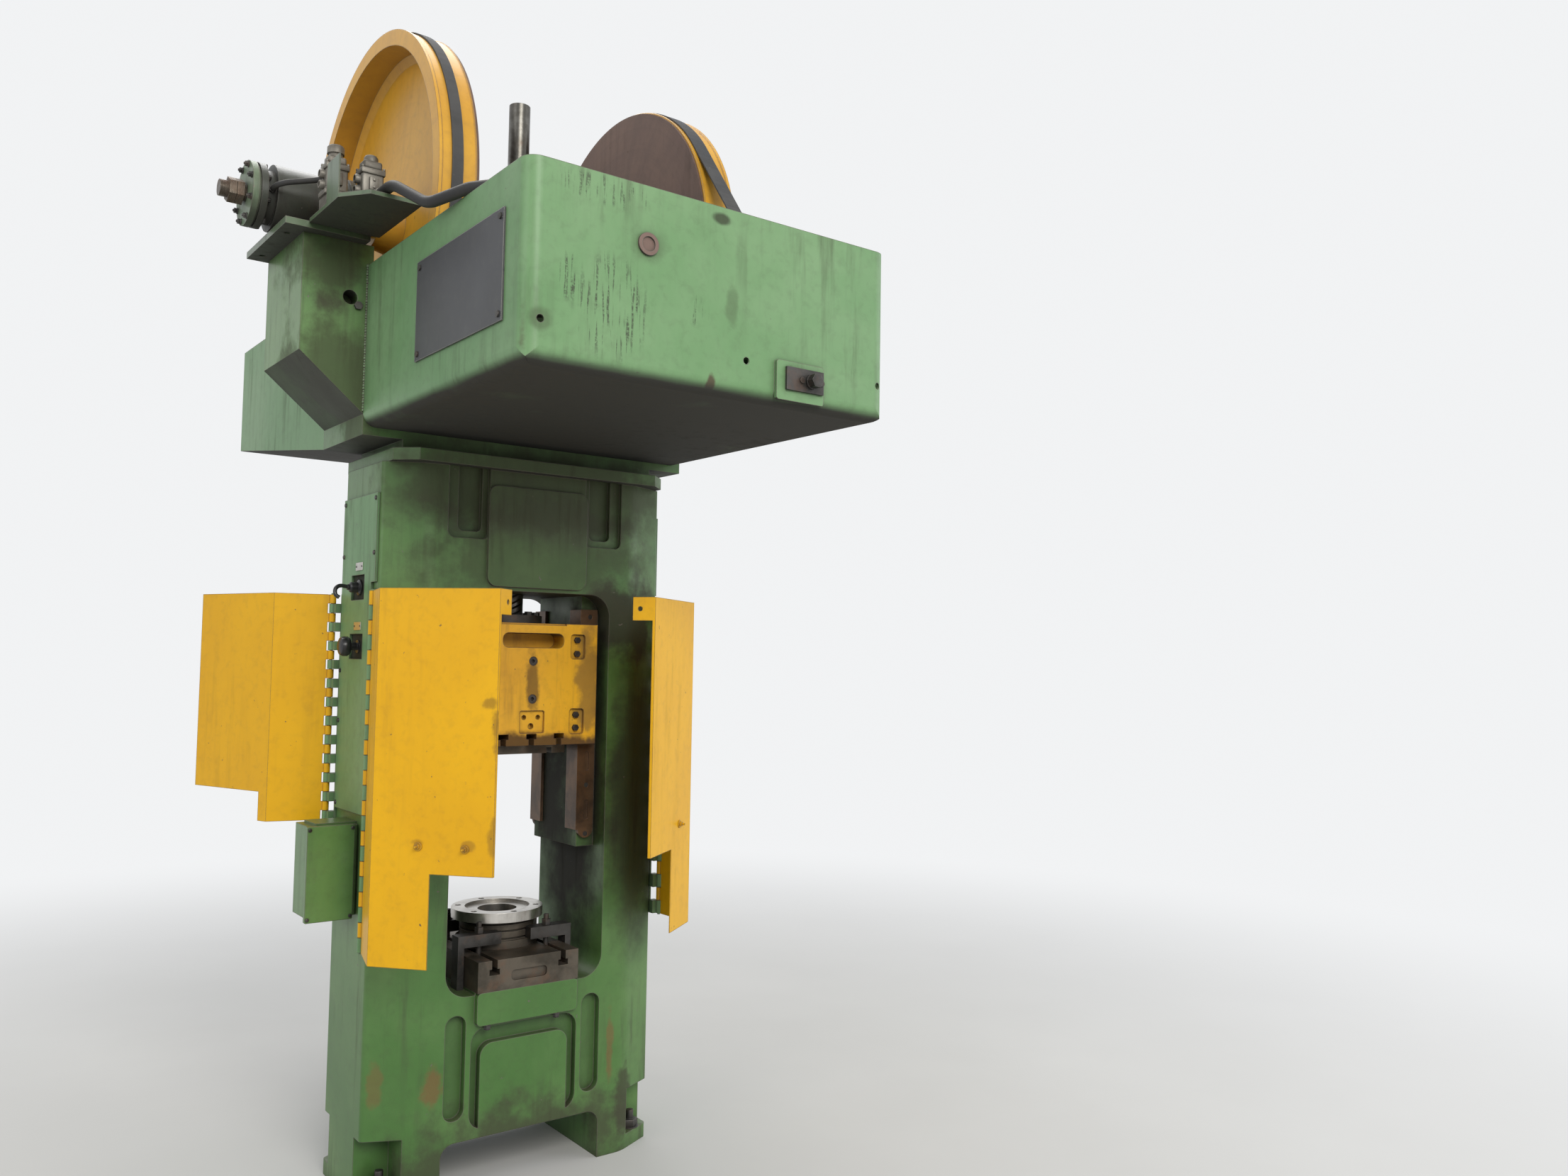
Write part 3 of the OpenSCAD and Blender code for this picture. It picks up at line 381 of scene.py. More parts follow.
def painted(name, coat, faded, dirt, under, wear=0.5, hollow_grime_and_shade=0.6, streaks=0.5, rough=0.42, seed=0.0,
            grain=240.0, waves=10.0, depth=0.25, stains_and_shade=(), scuffs=(), clear=0.15, below_shade=0.75,
            dust=0.0, dust_tone=(0.2, 0.17, 0.12), round_by=0.003, wheel=None, turned=(0.30, 0.35),
            gloss=0.35):
    """Old machine paint: faded patches, runs, dirt and painted shade in hollows, chips to the metal
    along edges, painted shade with grime on faces that look down.
    """
    m, t, s = new_material(name)
    wide = t.use("blotch", Size=1.7, Low=0.35, High=0.7, Seed=seed)["Mask"]
    small = t.use("blotch", Size=34.0, Low=0.45, High=0.75, Seed=seed + 3)["Mask"]
    colour = t.lay(rgba(coat), faded, wide)
    colour = t.lay(colour, dirt, small, amount=0.16)
    run = t.use("runs", Amount=streaks, Seed=seed)["Mask"]
    colour = t.lay(colour, dirt, run)
    # Painted shade with dirt in hollows and corners, from ambient occlusion.
    hollow = t.use("hollow dirt and shade", Amount=hollow_grime_and_shade)["Mask"]
    colour = t.lay(colour, shade(dirt, 0.5), hollow)
    if wheel:
        marks = turning_marks(t, wheel)
        for output, amount in zip(("Mask", "Spokes"), turned):
            colour = t.lay(colour, dirt, marks[output], amount)
    dull_marks = []
    # Stains, and where a list holds them, patches of painted shade.
    for tone, amount, centre, reach, ragged in stains_and_shade:
        mark = t.use("stain_and_shade", Centre=centre, Reach=reach, Ragged=ragged)["Mask"]
        dull_marks.append(t.times(mark, amount))
        colour = t.lay(colour, tone, dull_marks[-1])
    for tone, amount, centre, reach in scuffs:
        colour = t.lay(colour, tone, t.use("scuff", Centre=centre, Reach=reach)["Mask"], amount)
    if dust:
        colour = t.lay(colour, dust_tone, t.use("settled dust", Amount=dust)["Mask"])
    chip = t.use("edge wear", Amount=wear)["Mask"]
    nick = t.use("blotch", Size=46.0, Low=0.735 - 0.05 * wear, High=0.75 - 0.05 * wear,
                 Seed=seed + 8)["Mask"]
    bare = t.math("MAXIMUM", chip, nick)
    colour = t.lay(colour, under, bare)
    # Painted shade with grime on faces that look down.
    if below_shade:
        dull_marks.append(t.use("underside_shade", Amount=below_shade)["Mask"])
        colour = t.lay(colour, UNDERSIDE_SHADE_TONE, dull_marks[-1])
    dull = t.plus(rough, t.times(t.plus(run, hollow), DIRT_DULLS))
    if dull_marks and clear:
        matt = dull_marks[0]
        for mark in dull_marks[1:]:
            matt = t.math("MAXIMUM", matt, mark)
        t.feed(s, "Coat Weight", t.times(t.less(1.0, matt), clear))
        dull = t.plus(dull, t.times(matt, MARK_DULLS))
    else:
        t.feed(s, "Coat Weight", clear)
    t.feed(s, "Coat Roughness", COAT_ROUGHNESS)
    t.feed(s, "Specular IOR Level", gloss)
    t.feed(s, "Base Color", colour)
    t.feed(s, "Metallic", t.times(bare, BARE_METALLIC))
    t.feed(s, "Roughness", t.plus(dull, t.times(bare, BARE_DULLS), clamp=True))
    height = t.use("skin", Grain=grain, Waves=waves, Depth=depth)["Height"]
    height = t.less(height, t.times(bare, CHIP_DEPTH))
    edge = t.use("soft edge", Radius=round_by)["Normal"]
    t.feed(s, "Normal", t.bump(height, strength=0.25, distance=0.002, normal=edge))
    return m


def steel(name, bright, dark, rough=0.35, metal=0.9, along=(1, 1, 1), fine=80.0, hollow_grime_and_shade=0.6,
          rust=0.2, rust_tone=(0.16, 0.07, 0.03), seed=0.0, depth=0.2, wheel=None, cut=()):
    """Bare or oily metal: cloudy tone, fine scratches, oil and painted shade in hollows and some
    rust.
    """
    m, t, s = new_material(name)
    cloud = t.use("blotch", Size=9.0, Low=0.35, High=0.7, Seed=seed)["Mask"]
    colour = t.lay(rgba(bright), dark, cloud)
    line = t.use("scratches", Along=along, Fine=fine, Amount=0.7)["Mask"]
    colour = t.lay(colour, shade(bright, 1.7), line, amount=0.45)
    if wheel:
        marks = turning_marks(t, wheel)["Mask"]
        colour = t.lay(colour, shade(bright, 1.35), marks, amount=0.5)
    # Painted shade with oil in hollows, from ambient occlusion.
    hollow = t.use("hollow dirt and shade", Amount=hollow_grime_and_shade, Reach=0.03)["Mask"]
    colour = t.lay(colour, shade(dark, 0.25), hollow)
    eaten = t.times(t.use("blotch", Size=16.0, Low=0.5, High=0.72, Seed=seed + 5)["Mask"], rust)
    colour = t.lay(colour, rust_tone, eaten)
    shine = t.use("edge wear", Amount=0.6, Radius=0.002)["Mask"]
    t.feed(s, "Base Color", t.lay(colour, shade(bright, 1.6), shine, amount=0.5))
    dull = t.plus(hollow, eaten, clamp=True)
    t.feed(s, "Metallic", t.less(metal, t.times(dull, metal), clamp=True))
    t.feed(s, "Roughness", t.plus(rough, t.times(dull, OIL_DULLS), clamp=True))
    height = t.use("skin", Grain=420.0, Waves=60.0, Depth=depth)["Height"]
    height = t.plus(height, t.times(line, -SCRATCH_DEPTH))
    edge = t.use("soft edge", Radius=STEEL_ROUND_BY)["Normal"]
    normal = t.bump(height, strength=0.3, distance=0.001, normal=edge)
    for centre, along, side, pitch, lead, deep, end in cut:
        turns = t.use("thread", Centre=centre, Along=along, Side=side, Pitch=pitch, Lead=lead,
                      End=end)["Height"]
        normal = t.bump(turns, strength=1.0, distance=deep, normal=normal)
    t.feed(s, "Normal", normal)
    return m


# Tones, and the marks that have a place of their own

GREEN = (0.130, 0.268, 0.110)
GREEN_FADED = (0.188, 0.322, 0.158)
# The casting's greens are darker than the sheet's: partly an oily film, partly painted shade for
# the shade the column stands in.
CAST_GREEN_SHADED = (0.066, 0.165, 0.038)
CAST_FADED_SHADED = (0.120, 0.235, 0.070)
SOOT = (0.030, 0.026, 0.018)
# Near-black: soot, and painted shade on the window's inner walls.
DEEP_SOOT_AND_SHADE = (0.016, 0.013, 0.010)
# Grime; also the tone of the painted shadow on the column's top and, darkened, of the painted shade
# in hollows.
GRIME_AND_SHADE = (0.050, 0.050, 0.028)
BARE = (0.16, 0.14, 0.12)
RUST = (0.200, 0.085, 0.035)
# Tone of the painted shade with grime on faces that look down.
UNDERSIDE_SHADE_TONE = (0.034, 0.033, 0.027)
CHIP_BROWN = (0.085, 0.058, 0.038)
OCHRE = (0.34, 0.17, 0.02)
DARK_OCHRE = (0.30, 0.16, 0.02)

# Tone, amount, centre, reach and raggedness of each stain or patch of painted shade; scuffs have no
# raggedness.
CASTING_STAINS_AND_SHADE = [
    (SOOT, 0.78, (0.38, -0.15, 1.12), (0.17, 0.25, 0.68), 0.22),
    (SOOT, 0.88, (0.30, -0.22, 1.72), (0.24, 0.20, 0.18), 0.45),
    # The window's inner side walls: painted shade with soot.
    (DEEP_SOOT_AND_SHADE, 0.97, (0.27, 0.02, 1.20), (0.15, 0.30, 0.80), 0.20),
    (DEEP_SOOT_AND_SHADE, 0.95, (-0.27, 0.02, 1.20), (0.15, 0.30, 0.80), 0.20),
    # Painted shadow of the box's overhang on the top of the column.
    (GRIME_AND_SHADE, 0.80, (0.0, -0.24, 2.12), (0.75, 0.25, 0.22), 0.30),
    (GRIME_AND_SHADE, 0.55, (0.0, -0.24, 1.90), (0.50, 0.15, 0.30), 0.60),
    (DEEP_SOOT_AND_SHADE, 0.95, (-0.480, 0.0, 1.80), (0.03, 0.13, 0.085), 0.1),
    (DEEP_SOOT_AND_SHADE, 0.95, (-0.480, 0.0, 1.62), (0.03, 0.13, 0.085), 0.1),
    (RUST, 0.62, (-0.295, -0.23, 0.350), (0.040, 0.06, 0.070), 1.0),
    (RUST, 0.42, (-0.452, -0.19, 0.35), (0.024, 0.06, 0.085), 1.0),
    (RUST, 0.50, (0.30, -0.22, 0.33), (0.016, 0.06, 0.13), 0.9),
    (GRIME_AND_SHADE, 0.80, (0.36, -0.22, 0.16), (0.05, 0.08, 0.16), 0.8),
    (GRIME_AND_SHADE, 0.80, (0.0, -0.24, 0.08), (0.60, 0.15, 0.20), 0.5),
    (GRIME_AND_SHADE, 0.70, (-0.62, -0.10, 2.35), (0.20, 0.25, 0.30), 0.6),
    (GRIME_AND_SHADE, 0.75, (-0.64, -0.10, 2.75), (0.15, 0.25, 0.16), 0.6),
]
BOX_STAINS = [
    (SOOT, 0.80, (-0.016, -1.240, 2.714), (0.034, 0.02, 0.019), 0.3),
    (CHIP_BROWN, 0.90, (-0.039, -1.240, 2.286), (0.014, 0.03, 0.034), 0.7),
    (CHIP_BROWN, 0.70, (-0.551, -1.235, 2.330), (0.016, 0.03, 0.075), 0.8),
    (GRIME_AND_SHADE, 0.35, (0.022, -1.240, 2.483), (0.026, 0.03, 0.065), 0.7),
    (GRIME_AND_SHADE, 0.45, (-0.510, -1.240, 2.367), (0.036, 0.03, 0.034), 0.4),
    (GRIME_AND_SHADE, 0.30, (-0.231, -1.240, 2.600), (0.062, 0.03, 0.058), 0.5),
]
BOX_SCUFFS = [
    (SOOT, 0.80, (-0.325, -1.240, 2.425), (0.120, 0.05, 0.150)),
    (SOOT, 0.80, (-0.440, -1.240, 2.480), (0.030, 0.05, 0.070)),
    (SOOT, 0.75, (-0.088, -1.240, 2.463), (0.045, 0.05, 0.045)),
    (SOOT, 0.65, (-0.350, -1.240, 2.705), (0.160, 0.05, 0.045)),
]
DOOR_STAINS = [
    (OCHRE, 0.55, (-0.454, -0.452, 1.082), (0.022, 0.022, 0.012), 0.9),
    (OCHRE, 0.60, (-0.355, -0.566, 1.080), (0.020, 0.020, 0.016), 0.9),
    (DARK_OCHRE, 0.75, (-0.305, -0.620, 1.360), (0.018, 0.020, 0.110), 1.0),
    (DARK_OCHRE, 0.70, (-0.312, -0.612, 1.470), (0.030, 0.030, 0.020), 1.0),
    (DARK_OCHRE, 0.60, (-0.303, -0.622, 1.100), (0.016, 0.020, 0.060), 1.0),
]
RAM_STAINS = [
    ((0.060, 0.030, 0.016), 0.9, (0.0, -0.22, 1.322), (0.40, 0.10, 0.045), 0.6),
    ((0.07, 0.04, 0.02), 0.7, (0.0, -0.22, 1.52), (0.030, 0.06, 0.14), 0.9),
    ((0.10, 0.06, 0.03), 0.6, (0.20, -0.22, 1.50), (0.05, 0.10, 0.24), 0.8),
]

# Axes: a centre, the axis and a side. A wheel adds how fine its marks of turning are, a cut its
# pitch, lead and depth and where it ends.
DISC_Z = 2.94
DISC_TURN = ((0.0, 0.0, DISC_Z), X_AXIS, Y_AXIS)
SCREW_TURN = (ORIGIN, UP, X_AXIS)
ROD_THREAD = DISC_TURN + (0.0035, 0.0035, 0.0016, 10.0)
MAIN_THREAD = SCREW_TURN + (0.0375, 0.15, 0.006, 2.70)

# Four tones of a paint: coat, faded coat, dirt (a darker share of it is painted shade in hollows)
# and what shows under a chip. Two of a metal.
FINISH = {
    "green_casting": painted(
        "casting green shaded", CAST_GREEN_SHADED, CAST_FADED_SHADED, GRIME_AND_SHADE, BARE, hollow_grime_and_shade=0.85, streaks=0.6, rough=0.38,
        waves=16.0, depth=0.55, stains_and_shade=CASTING_STAINS_AND_SHADE, clear=0.2, below_shade=0.82, dust=0.35,
        dust_tone=(0.11, 0.09, 0.06), round_by=0.005),
    "green_sheet": painted(
        "sheet green", GREEN, GREEN_FADED, GRIME_AND_SHADE, BARE, hollow_grime_and_shade=0.8, rough=0.46, seed=4.0, waves=5.0,
        clear=0.08, below_shade=0.95, dust=0.3, stains_and_shade=BOX_STAINS, scuffs=BOX_SCUFFS),
    "oily_green": painted(
        "oily green", (0.060, 0.105, 0.045), (0.100, 0.150, 0.075), (0.020, 0.018, 0.012), BARE,
        hollow_grime_and_shade=1.0, streaks=0.9, rough=0.34, seed=5.0, clear=0.3, below_shade=0.82, dust=0.7,
        dust_tone=(0.045, 0.038, 0.028)),
    "guide_bronze": steel(
        "oiled bronze", (0.150, 0.085, 0.045), (0.055, 0.035, 0.022), rough=0.38, metal=0.6,
        along=(6, 6, 0.3), fine=40.0, rust=0.1, seed=2.0),
    "dark_steel": steel(
        "dark steel", (0.085, 0.080, 0.075), (0.030, 0.028, 0.025), rough=0.42, metal=0.75,
        rust=0.3, seed=6.0),
    "rod_steel": steel(
        "rod steel", (0.16, 0.13, 0.10), (0.06, 0.05, 0.04), rough=0.4, metal=0.8, rust=0.4,
        seed=6.5, cut=(ROD_THREAD,)),
    "bolster_steel": steel(
        "table steel", (0.130, 0.110, 0.085), (0.055, 0.047, 0.035), rough=0.45, metal=0.65,
        along=(0.4, 4, 4), fine=50.0, rust=0.35, seed=9.0, depth=0.4),
    "bright_steel": steel(
        "turned steel", (0.58, 0.56, 0.52), (0.30, 0.28, 0.25), rough=0.28, metal=0.95, hollow_grime_and_shade=0.8,
        rust=0.12, seed=12.0, wheel=SCREW_TURN + (900.0,)),
    "plate_black": painted(
        "plate black", (0.030, 0.031, 0.035), (0.050, 0.052, 0.058), (0.09, 0.09, 0.08),
        (0.30, 0.29, 0.27), wear=0.4, hollow_grime_and_shade=0.15, streaks=0.35, seed=7.0, depth=0.1, below_shade=0.0,
        dust=0.2),
    "housing_grey": painted(
        "housing grey", (0.026, 0.030, 0.022), (0.050, 0.055, 0.040), (0.022, 0.018, 0.013),
        (0.10, 0.09, 0.08), hollow_grime_and_shade=0.9, streaks=0.8, seed=11.0, depth=0.8, clear=0.25, dust=0.5,
        dust_tone=(0.05, 0.043, 0.033)),
    "cap_green": painted(
        "cap green", (0.110, 0.175, 0.100), (0.17, 0.22, 0.14), (0.045, 0.038, 0.026),
        (0.20, 0.18, 0.15), wear=0.6, hollow_grime_and_shade=0.8, streaks=0.8, rough=0.45, seed=13.0),
    "motor_paint": painted(
        "motor paint", (0.075, 0.125, 0.115), (0.11, 0.16, 0.14), GRIME_AND_SHADE, BARE, seed=14.0, dust=0.7,
        dust_tone=(0.10, 0.085, 0.065)),
    "belt_fabric": painted(
        "belt fabric", (0.045, 0.047, 0.052), (0.080, 0.076, 0.072), (0.025, 0.025, 0.025),
        (0.15, 0.14, 0.13), wear=0.3, hollow_grime_and_shade=0.3, streaks=0.1, rough=0.75, seed=15.0, grain=700.0,
        depth=1.0, clear=0.0, wheel=DISC_TURN + (140.0,)),
    "valve_alloy": steel(
        "valve alloy", (0.22, 0.205, 0.175), (0.085, 0.075, 0.060), rough=0.48, metal=0.6,
        rust_tone=(0.09, 0.07, 0.05), seed=16.0, depth=0.6),
    "ram_orange": painted(
        "ram orange", (0.86, 0.470, 0.026), (0.76, 0.385, 0.022), (0.13, 0.065, 0.022),
        (0.13, 0.08, 0.05), wear=0.75, hollow_grime_and_shade=0.55, seed=17.0, depth=0.5, stains_and_shade=RAM_STAINS),
    "screw_steel": steel(
        "screw steel", (0.22, 0.215, 0.20), (0.09, 0.085, 0.075), rough=0.33, along=(1, 1, 8),
        fine=30.0, seed=18.0, hollow_grime_and_shade=0.8),
    "screw_thread": steel(
        "threaded screw", (0.20, 0.195, 0.18), (0.07, 0.065, 0.055), rough=0.30, along=(1, 1, 8),
        fine=30.0, seed=18.5, hollow_grime_and_shade=0.8, cut=(MAIN_THREAD,)),
    "wheel_iron": steel(
        "wheel iron", (0.19, 0.185, 0.175), (0.09, 0.088, 0.08), rough=0.5, metal=0.7, seed=19.0,
        depth=0.6, wheel=SCREW_TURN + (160.0,)),
    "friction_brown": painted(
        "friction brown", (0.180, 0.112, 0.085), (0.130, 0.080, 0.065), (0.05, 0.038, 0.032),
        (0.10, 0.07, 0.05), wear=0.3, hollow_grime_and_shade=0.4, streaks=0.4, rough=0.66, seed=20.0, grain=500.0,
        depth=0.8, clear=0.0, wheel=DISC_TURN + (70.0,), turned=(0.14, 0.18), below_shade=0.0),
    "disc_orange": painted(
        "disc orange", (0.74, 0.395, 0.030), (0.64, 0.320, 0.030), (0.22, 0.105, 0.030),
        (0.20, 0.14, 0.09), wear=0.4, hollow_grime_and_shade=0.5, streaks=0.1, rough=0.4, seed=21.0,
        wheel=DISC_TURN + (60.0,), turned=(0.06, 0.10), below_shade=0.3, round_by=0.004),
    "door_yellow": painted(
        "door yellow", (0.80, 0.430, 0.006), (0.74, 0.385, 0.006), (0.32, 0.16, 0.02),
        (0.20, 0.12, 0.05), wear=0.7, hollow_grime_and_shade=0.3, streaks=0.3, seed=22.0, waves=3.0, clear=0.06,
        gloss=0.25, below_shade=0.3, stains_and_shade=DOOR_STAINS),
    "knob_black": painted(
        "knob black", (0.012, 0.012, 0.013), (0.020, 0.020, 0.020), (0.03, 0.028, 0.024),
        (0.05, 0.05, 0.05), wear=0.2, hollow_grime_and_shade=0.3, streaks=0.1, rough=0.3, seed=23.0),
    "hose_black": painted(
        "hose rubber", (0.016, 0.016, 0.017), (0.028, 0.027, 0.026), (0.07, 0.06, 0.045),
        (0.05, 0.05, 0.05), wear=0.1, hollow_grime_and_shade=0.3, streaks=0.2, rough=0.55, seed=25.0, grain=600.0,
        clear=0.0, dust=0.35, below_shade=0.3),
    "plug_brown": painted(
        "plug brown", (0.150, 0.092, 0.078), (0.200, 0.130, 0.105), GRIME_AND_SHADE, BARE, wear=0.4,
        hollow_grime_and_shade=0.9, streaks=0.4, rough=0.5, seed=27.0, clear=0.05),
}

# Nodes whose finish isn't the one that their slot is named after
OWN_FINISH = {"terminal_box": "green_casting", "valve_plate": "oily_green",
              "ear_plates": "oily_green", "rod_left": "rod_steel", "rod_right": "rod_steel",
              "screw": "screw_thread", "sight_plug": "plug_brown"}
SLOT_OF = {s["node"]: s["material_slot"] for s in frame["record"]["subparts"]}
for node_name, node_ob in frame["nodes"].items():
    for material_slot in node_ob.material_slots:
        material_slot.material = FINISH[OWN_FINISH.get(node_name, SLOT_OF[node_name])]


# Shapes that the pieces are made of

MERGE = 1e-6
LEVEL = 1e-7
WASHER_THICK = 0.003
NUT_SIDES = 6


def both_ways(value):
    return (-value, value)


def dress(ob, finish, body):
    """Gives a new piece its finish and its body."""
    ob.data.materials.append(FINISH[finish])
    link(ob)
    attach(ob, body)
    return ob


def piece(name, bm, finish, body, smooth=40.0):
    """Makes a finished piece of a bmesh whose place is already in its mesh."""
    bmesh.ops.remove_doubles(bm, verts=bm.verts, dist=MERGE)
    bmesh.ops.recalc_face_normals(bm, faces=bm.faces)
    me = bpy.data.meshes.new(name)
    bm.to_mesh(me)
    bm.free()
    for f in me.polygons:
        f.use_smooth = True
    me.set_sharp_from_angle(angle=math.radians(smooth))
    return dress(bpy.data.objects.new(name, me), finish, body)


def toward(axis):
    """The turn that lays +Z along a direction."""
    return Vector(UP).rotation_difference(Vector(axis)).to_matrix().to_4x4()


def edges_of(verts):
    """The edges at some points, each once and always in the same order."""
    return list(dict.fromkeys(e for v in verts for e in v.link_edges))


def soften(bm, edges, offset, segments=2):
    bmesh.ops.bevel(bm, geom=edges, offset=offset, offset_type="OFFSET", affect="EDGES",
                    segments=segments, profile=0.5, material=-1)


def block(bm, low, high, soft=0.0, segments=2, turn=None):
    """A box between two corners with rounded edges."""
    got = bmesh.ops.create_cube(bm, size=1.0)["verts"]
    low, high = Vector(low), Vector(high)
    bmesh.ops.scale(bm, vec=high - low, verts=got)
    bmesh.ops.translate(bm, vec=(low + high) / 2, verts=got)
    if turn is not None:
        bmesh.ops.transform(bm, matrix=turn, verts=got)
    if soft:
        soften(bm, edges_of(got), soft, segments)


def bar(bm, start, axis, length, r, sides=24, top=None, soft=0.0):
    """A round or six-sided bar from a point along a direction, with rounded end edges."""
    got = bmesh.ops.create_cone(bm, cap_ends=True, segments=sides, radius1=r,
                                radius2=r if top is None else top, depth=length)["verts"]
    ends = [e for e in edges_of(got) if abs(e.verts[0].co.z - e.verts[1].co.z) < LEVEL]
    seat = Matrix.Translation(start) @ toward(axis) @ Matrix.Translation((0, 0, length / 2))
    bmesh.ops.transform(bm, matrix=seat, verts=got)
    if soft:
        soften(bm, ends, soft)


def lathe(bm, profile, at, axis, steps=48):
    """Turns a profile of (radius, height) points about an axis through a point."""
    old = set(bm.verts)
    line = [bm.verts.new((r, 0, h)) for r, h in profile]
    edges = [bm.edges.new(pair) for pair in zip(line, line[1:])]
    bmesh.ops.spin(bm, geom=line + edges, cent=ORIGIN, axis=UP, angle=2 * math.pi, steps=steps,
                   use_merge=True, use_duplicate=False)
    got = [v for v in bm.verts if v not in old]
    bmesh.ops.transform(bm, matrix=Matrix.Translation(at) @ toward(axis), verts=got)


def bolt(bm, at, axis, flats, height, washer=0.0, stud=0.0):
    """A hexagon head or nut on its washer, seated at a point; a stud may stand out of it."""
    out = Vector(axis).normalized()
    at = Vector(at)
    if washer:
        bar(bm, at, out, WASHER_THICK, washer, sides=28, soft=0.0006)
        at = at + out * WASHER_THICK
    bar(bm, at, out, height, flats / math.sqrt(3), NUT_SIDES, soft=height * 0.12)
    if stud:
        bar(bm, at + out * height * 0.9, out, stud, flats * 0.27, sides=16, soft=0.001)


def rounded(points, r, turn):
    """Straight runs with every corner rounded to a radius: pairs of a point and its heading."""
    points = [Vector(p) for p in points]
    line = [(points[0], (points[1] - points[0]).normalized())]
    for before, corner, after in zip(points, points[1:], points[2:]):
        back = (before - corner).normalized()
        ahead = (after - corner).normalized()
        half = back.angle(ahead) / 2
        reach = r / math.tan(half)
        centre = corner + (back + ahead).normalized() * r / math.sin(half)
        steps = max(2, round(math.degrees(math.pi - 2 * half) / turn))
        heading = ahead - back
        for k in range(steps + 1):
            chord = (corner + back * reach).lerp(corner + ahead * reach, k / steps)
            spoke = (chord - centre).normalized()
            line.append((centre + spoke * r, (heading - spoke * heading.dot(spoke)).normalized()))
    return line + [(points[-1], (points[-1] - points[-2]).normalized())]


def tube(name, points, r, finish, body, bend=None, turn=18):
    """A round hose or bent bar as a curve with its own centreline; a bend rounds its corners."""
    line = bpy.data.curves.new(name, "CURVE")
    line.dimensions = "3D"
    line.bevel_depth = r
    line.bevel_resolution = 6
    line.resolution_u = 10
    line.use_fill_caps = True
    route = rounded(points, bend, turn) if bend else [(Vector(p), None) for p in points]
    spline = line.splines.new("BEZIER")
    spline.bezier_points.add(len(route) - 1)
    for n, (k, (p, heading)) in enumerate(zip(spline.bezier_points, route)):
        k.co = p
        k.handle_left_type = k.handle_right_type = "FREE" if heading else "AUTO"
        if heading:
            last, following = route[max(n - 1, 0)][0], route[min(n + 1, len(route) - 1)][0]
            k.handle_left = p - heading * (p - last).length / 3
            k.handle_right = p + heading * (p - following).length / 3
    return dress(bpy.data.objects.new(name, line), finish, body)


# Places on the machine, in metres

HEAD_Y = 0.18
EAR_TOP = 2.825
BOX_X = 0.551
COL_X = 0.48
HOOK_Z = 1.800
KNOB_Z = 1.620


# Valves and hoses

VALVES = ((-0.640, -0.440, 2.832), (-0.690, -0.290, 2.880))
VALVE_PACKER = ((-0.720, -0.330, 2.832), (-0.660, -0.250, 2.880))
# Half width, half depth, lower and upper face, edge and its steps, from the foot up
VALVE_LAYERS = (
    (0.036, 0.030, 0.000, 0.014, 0.003, 2),
    (0.030, 0.025, 0.013, 0.078, 0.006, 3),
    (0.033, 0.028, 0.076, 0.092, 0.003, 2),
    (0.026, 0.022, 0.091, 0.116, 0.007, 3),
)
# How high the screws of cap and foot sit, their length and radius
VALVE_SCREWS = ((0.092, 0.006, 0.0042), (0.014, 0.005, 0.0040))
VALVE_SCREW_X, VALVE_SCREW_Y = 0.029, 0.022
VALVE_PLATE = ((-0.012, -0.034, 0.030), (0.012, -0.024, 0.066))
VALVE_PLATE_SCREW_Z = (0.038, 0.058)
VALVE_PORT_X, VALVE_PORT_Z = 0.030, (0.031, 0.062)
VALVE_CAP_Z = 0.115
# Turned shapes: radius and height of each point
VALVE_CAP = [(0.0, 0.0), (0.019, 0.0), (0.019, 0.012), (0.015, 0.018), (0.0, 0.019)]
VALVE_PORT = [(0.0, 0.0), (0.013, 0.0), (0.013, 0.010), (0.0105, 0.014), (0.008, 0.014),
              (0.008, 0.006), (0.0, 0.006)]
RISER_CAP = [(0.0, 0.0), (0.0235, 0.0), (0.0235, 0.018), (0.020, 0.023), (0.0, 0.024)]
MOTOR_HOSE_ROUTE = [
    (-0.625, -0.481, 2.851), (-0.625, -0.575, 2.851), (-0.592, -0.745, 2.757),
    (-0.549, -0.905, 2.7605), (-0.470, -1.060, 2.750), (-0.455, -1.040, 2.290),
    (-0.015, -0.955, 2.290), (-0.015, -0.950, 2.594), (0.166, -0.950, 2.594)]
CYLINDER_HOSE_ROUTE = [
    (-0.690, -0.256, 2.960), (-0.690, -0.207, 2.960), (-0.8025, -0.142, 2.9415),
    (-0.8025, -0.080, 2.9415)]


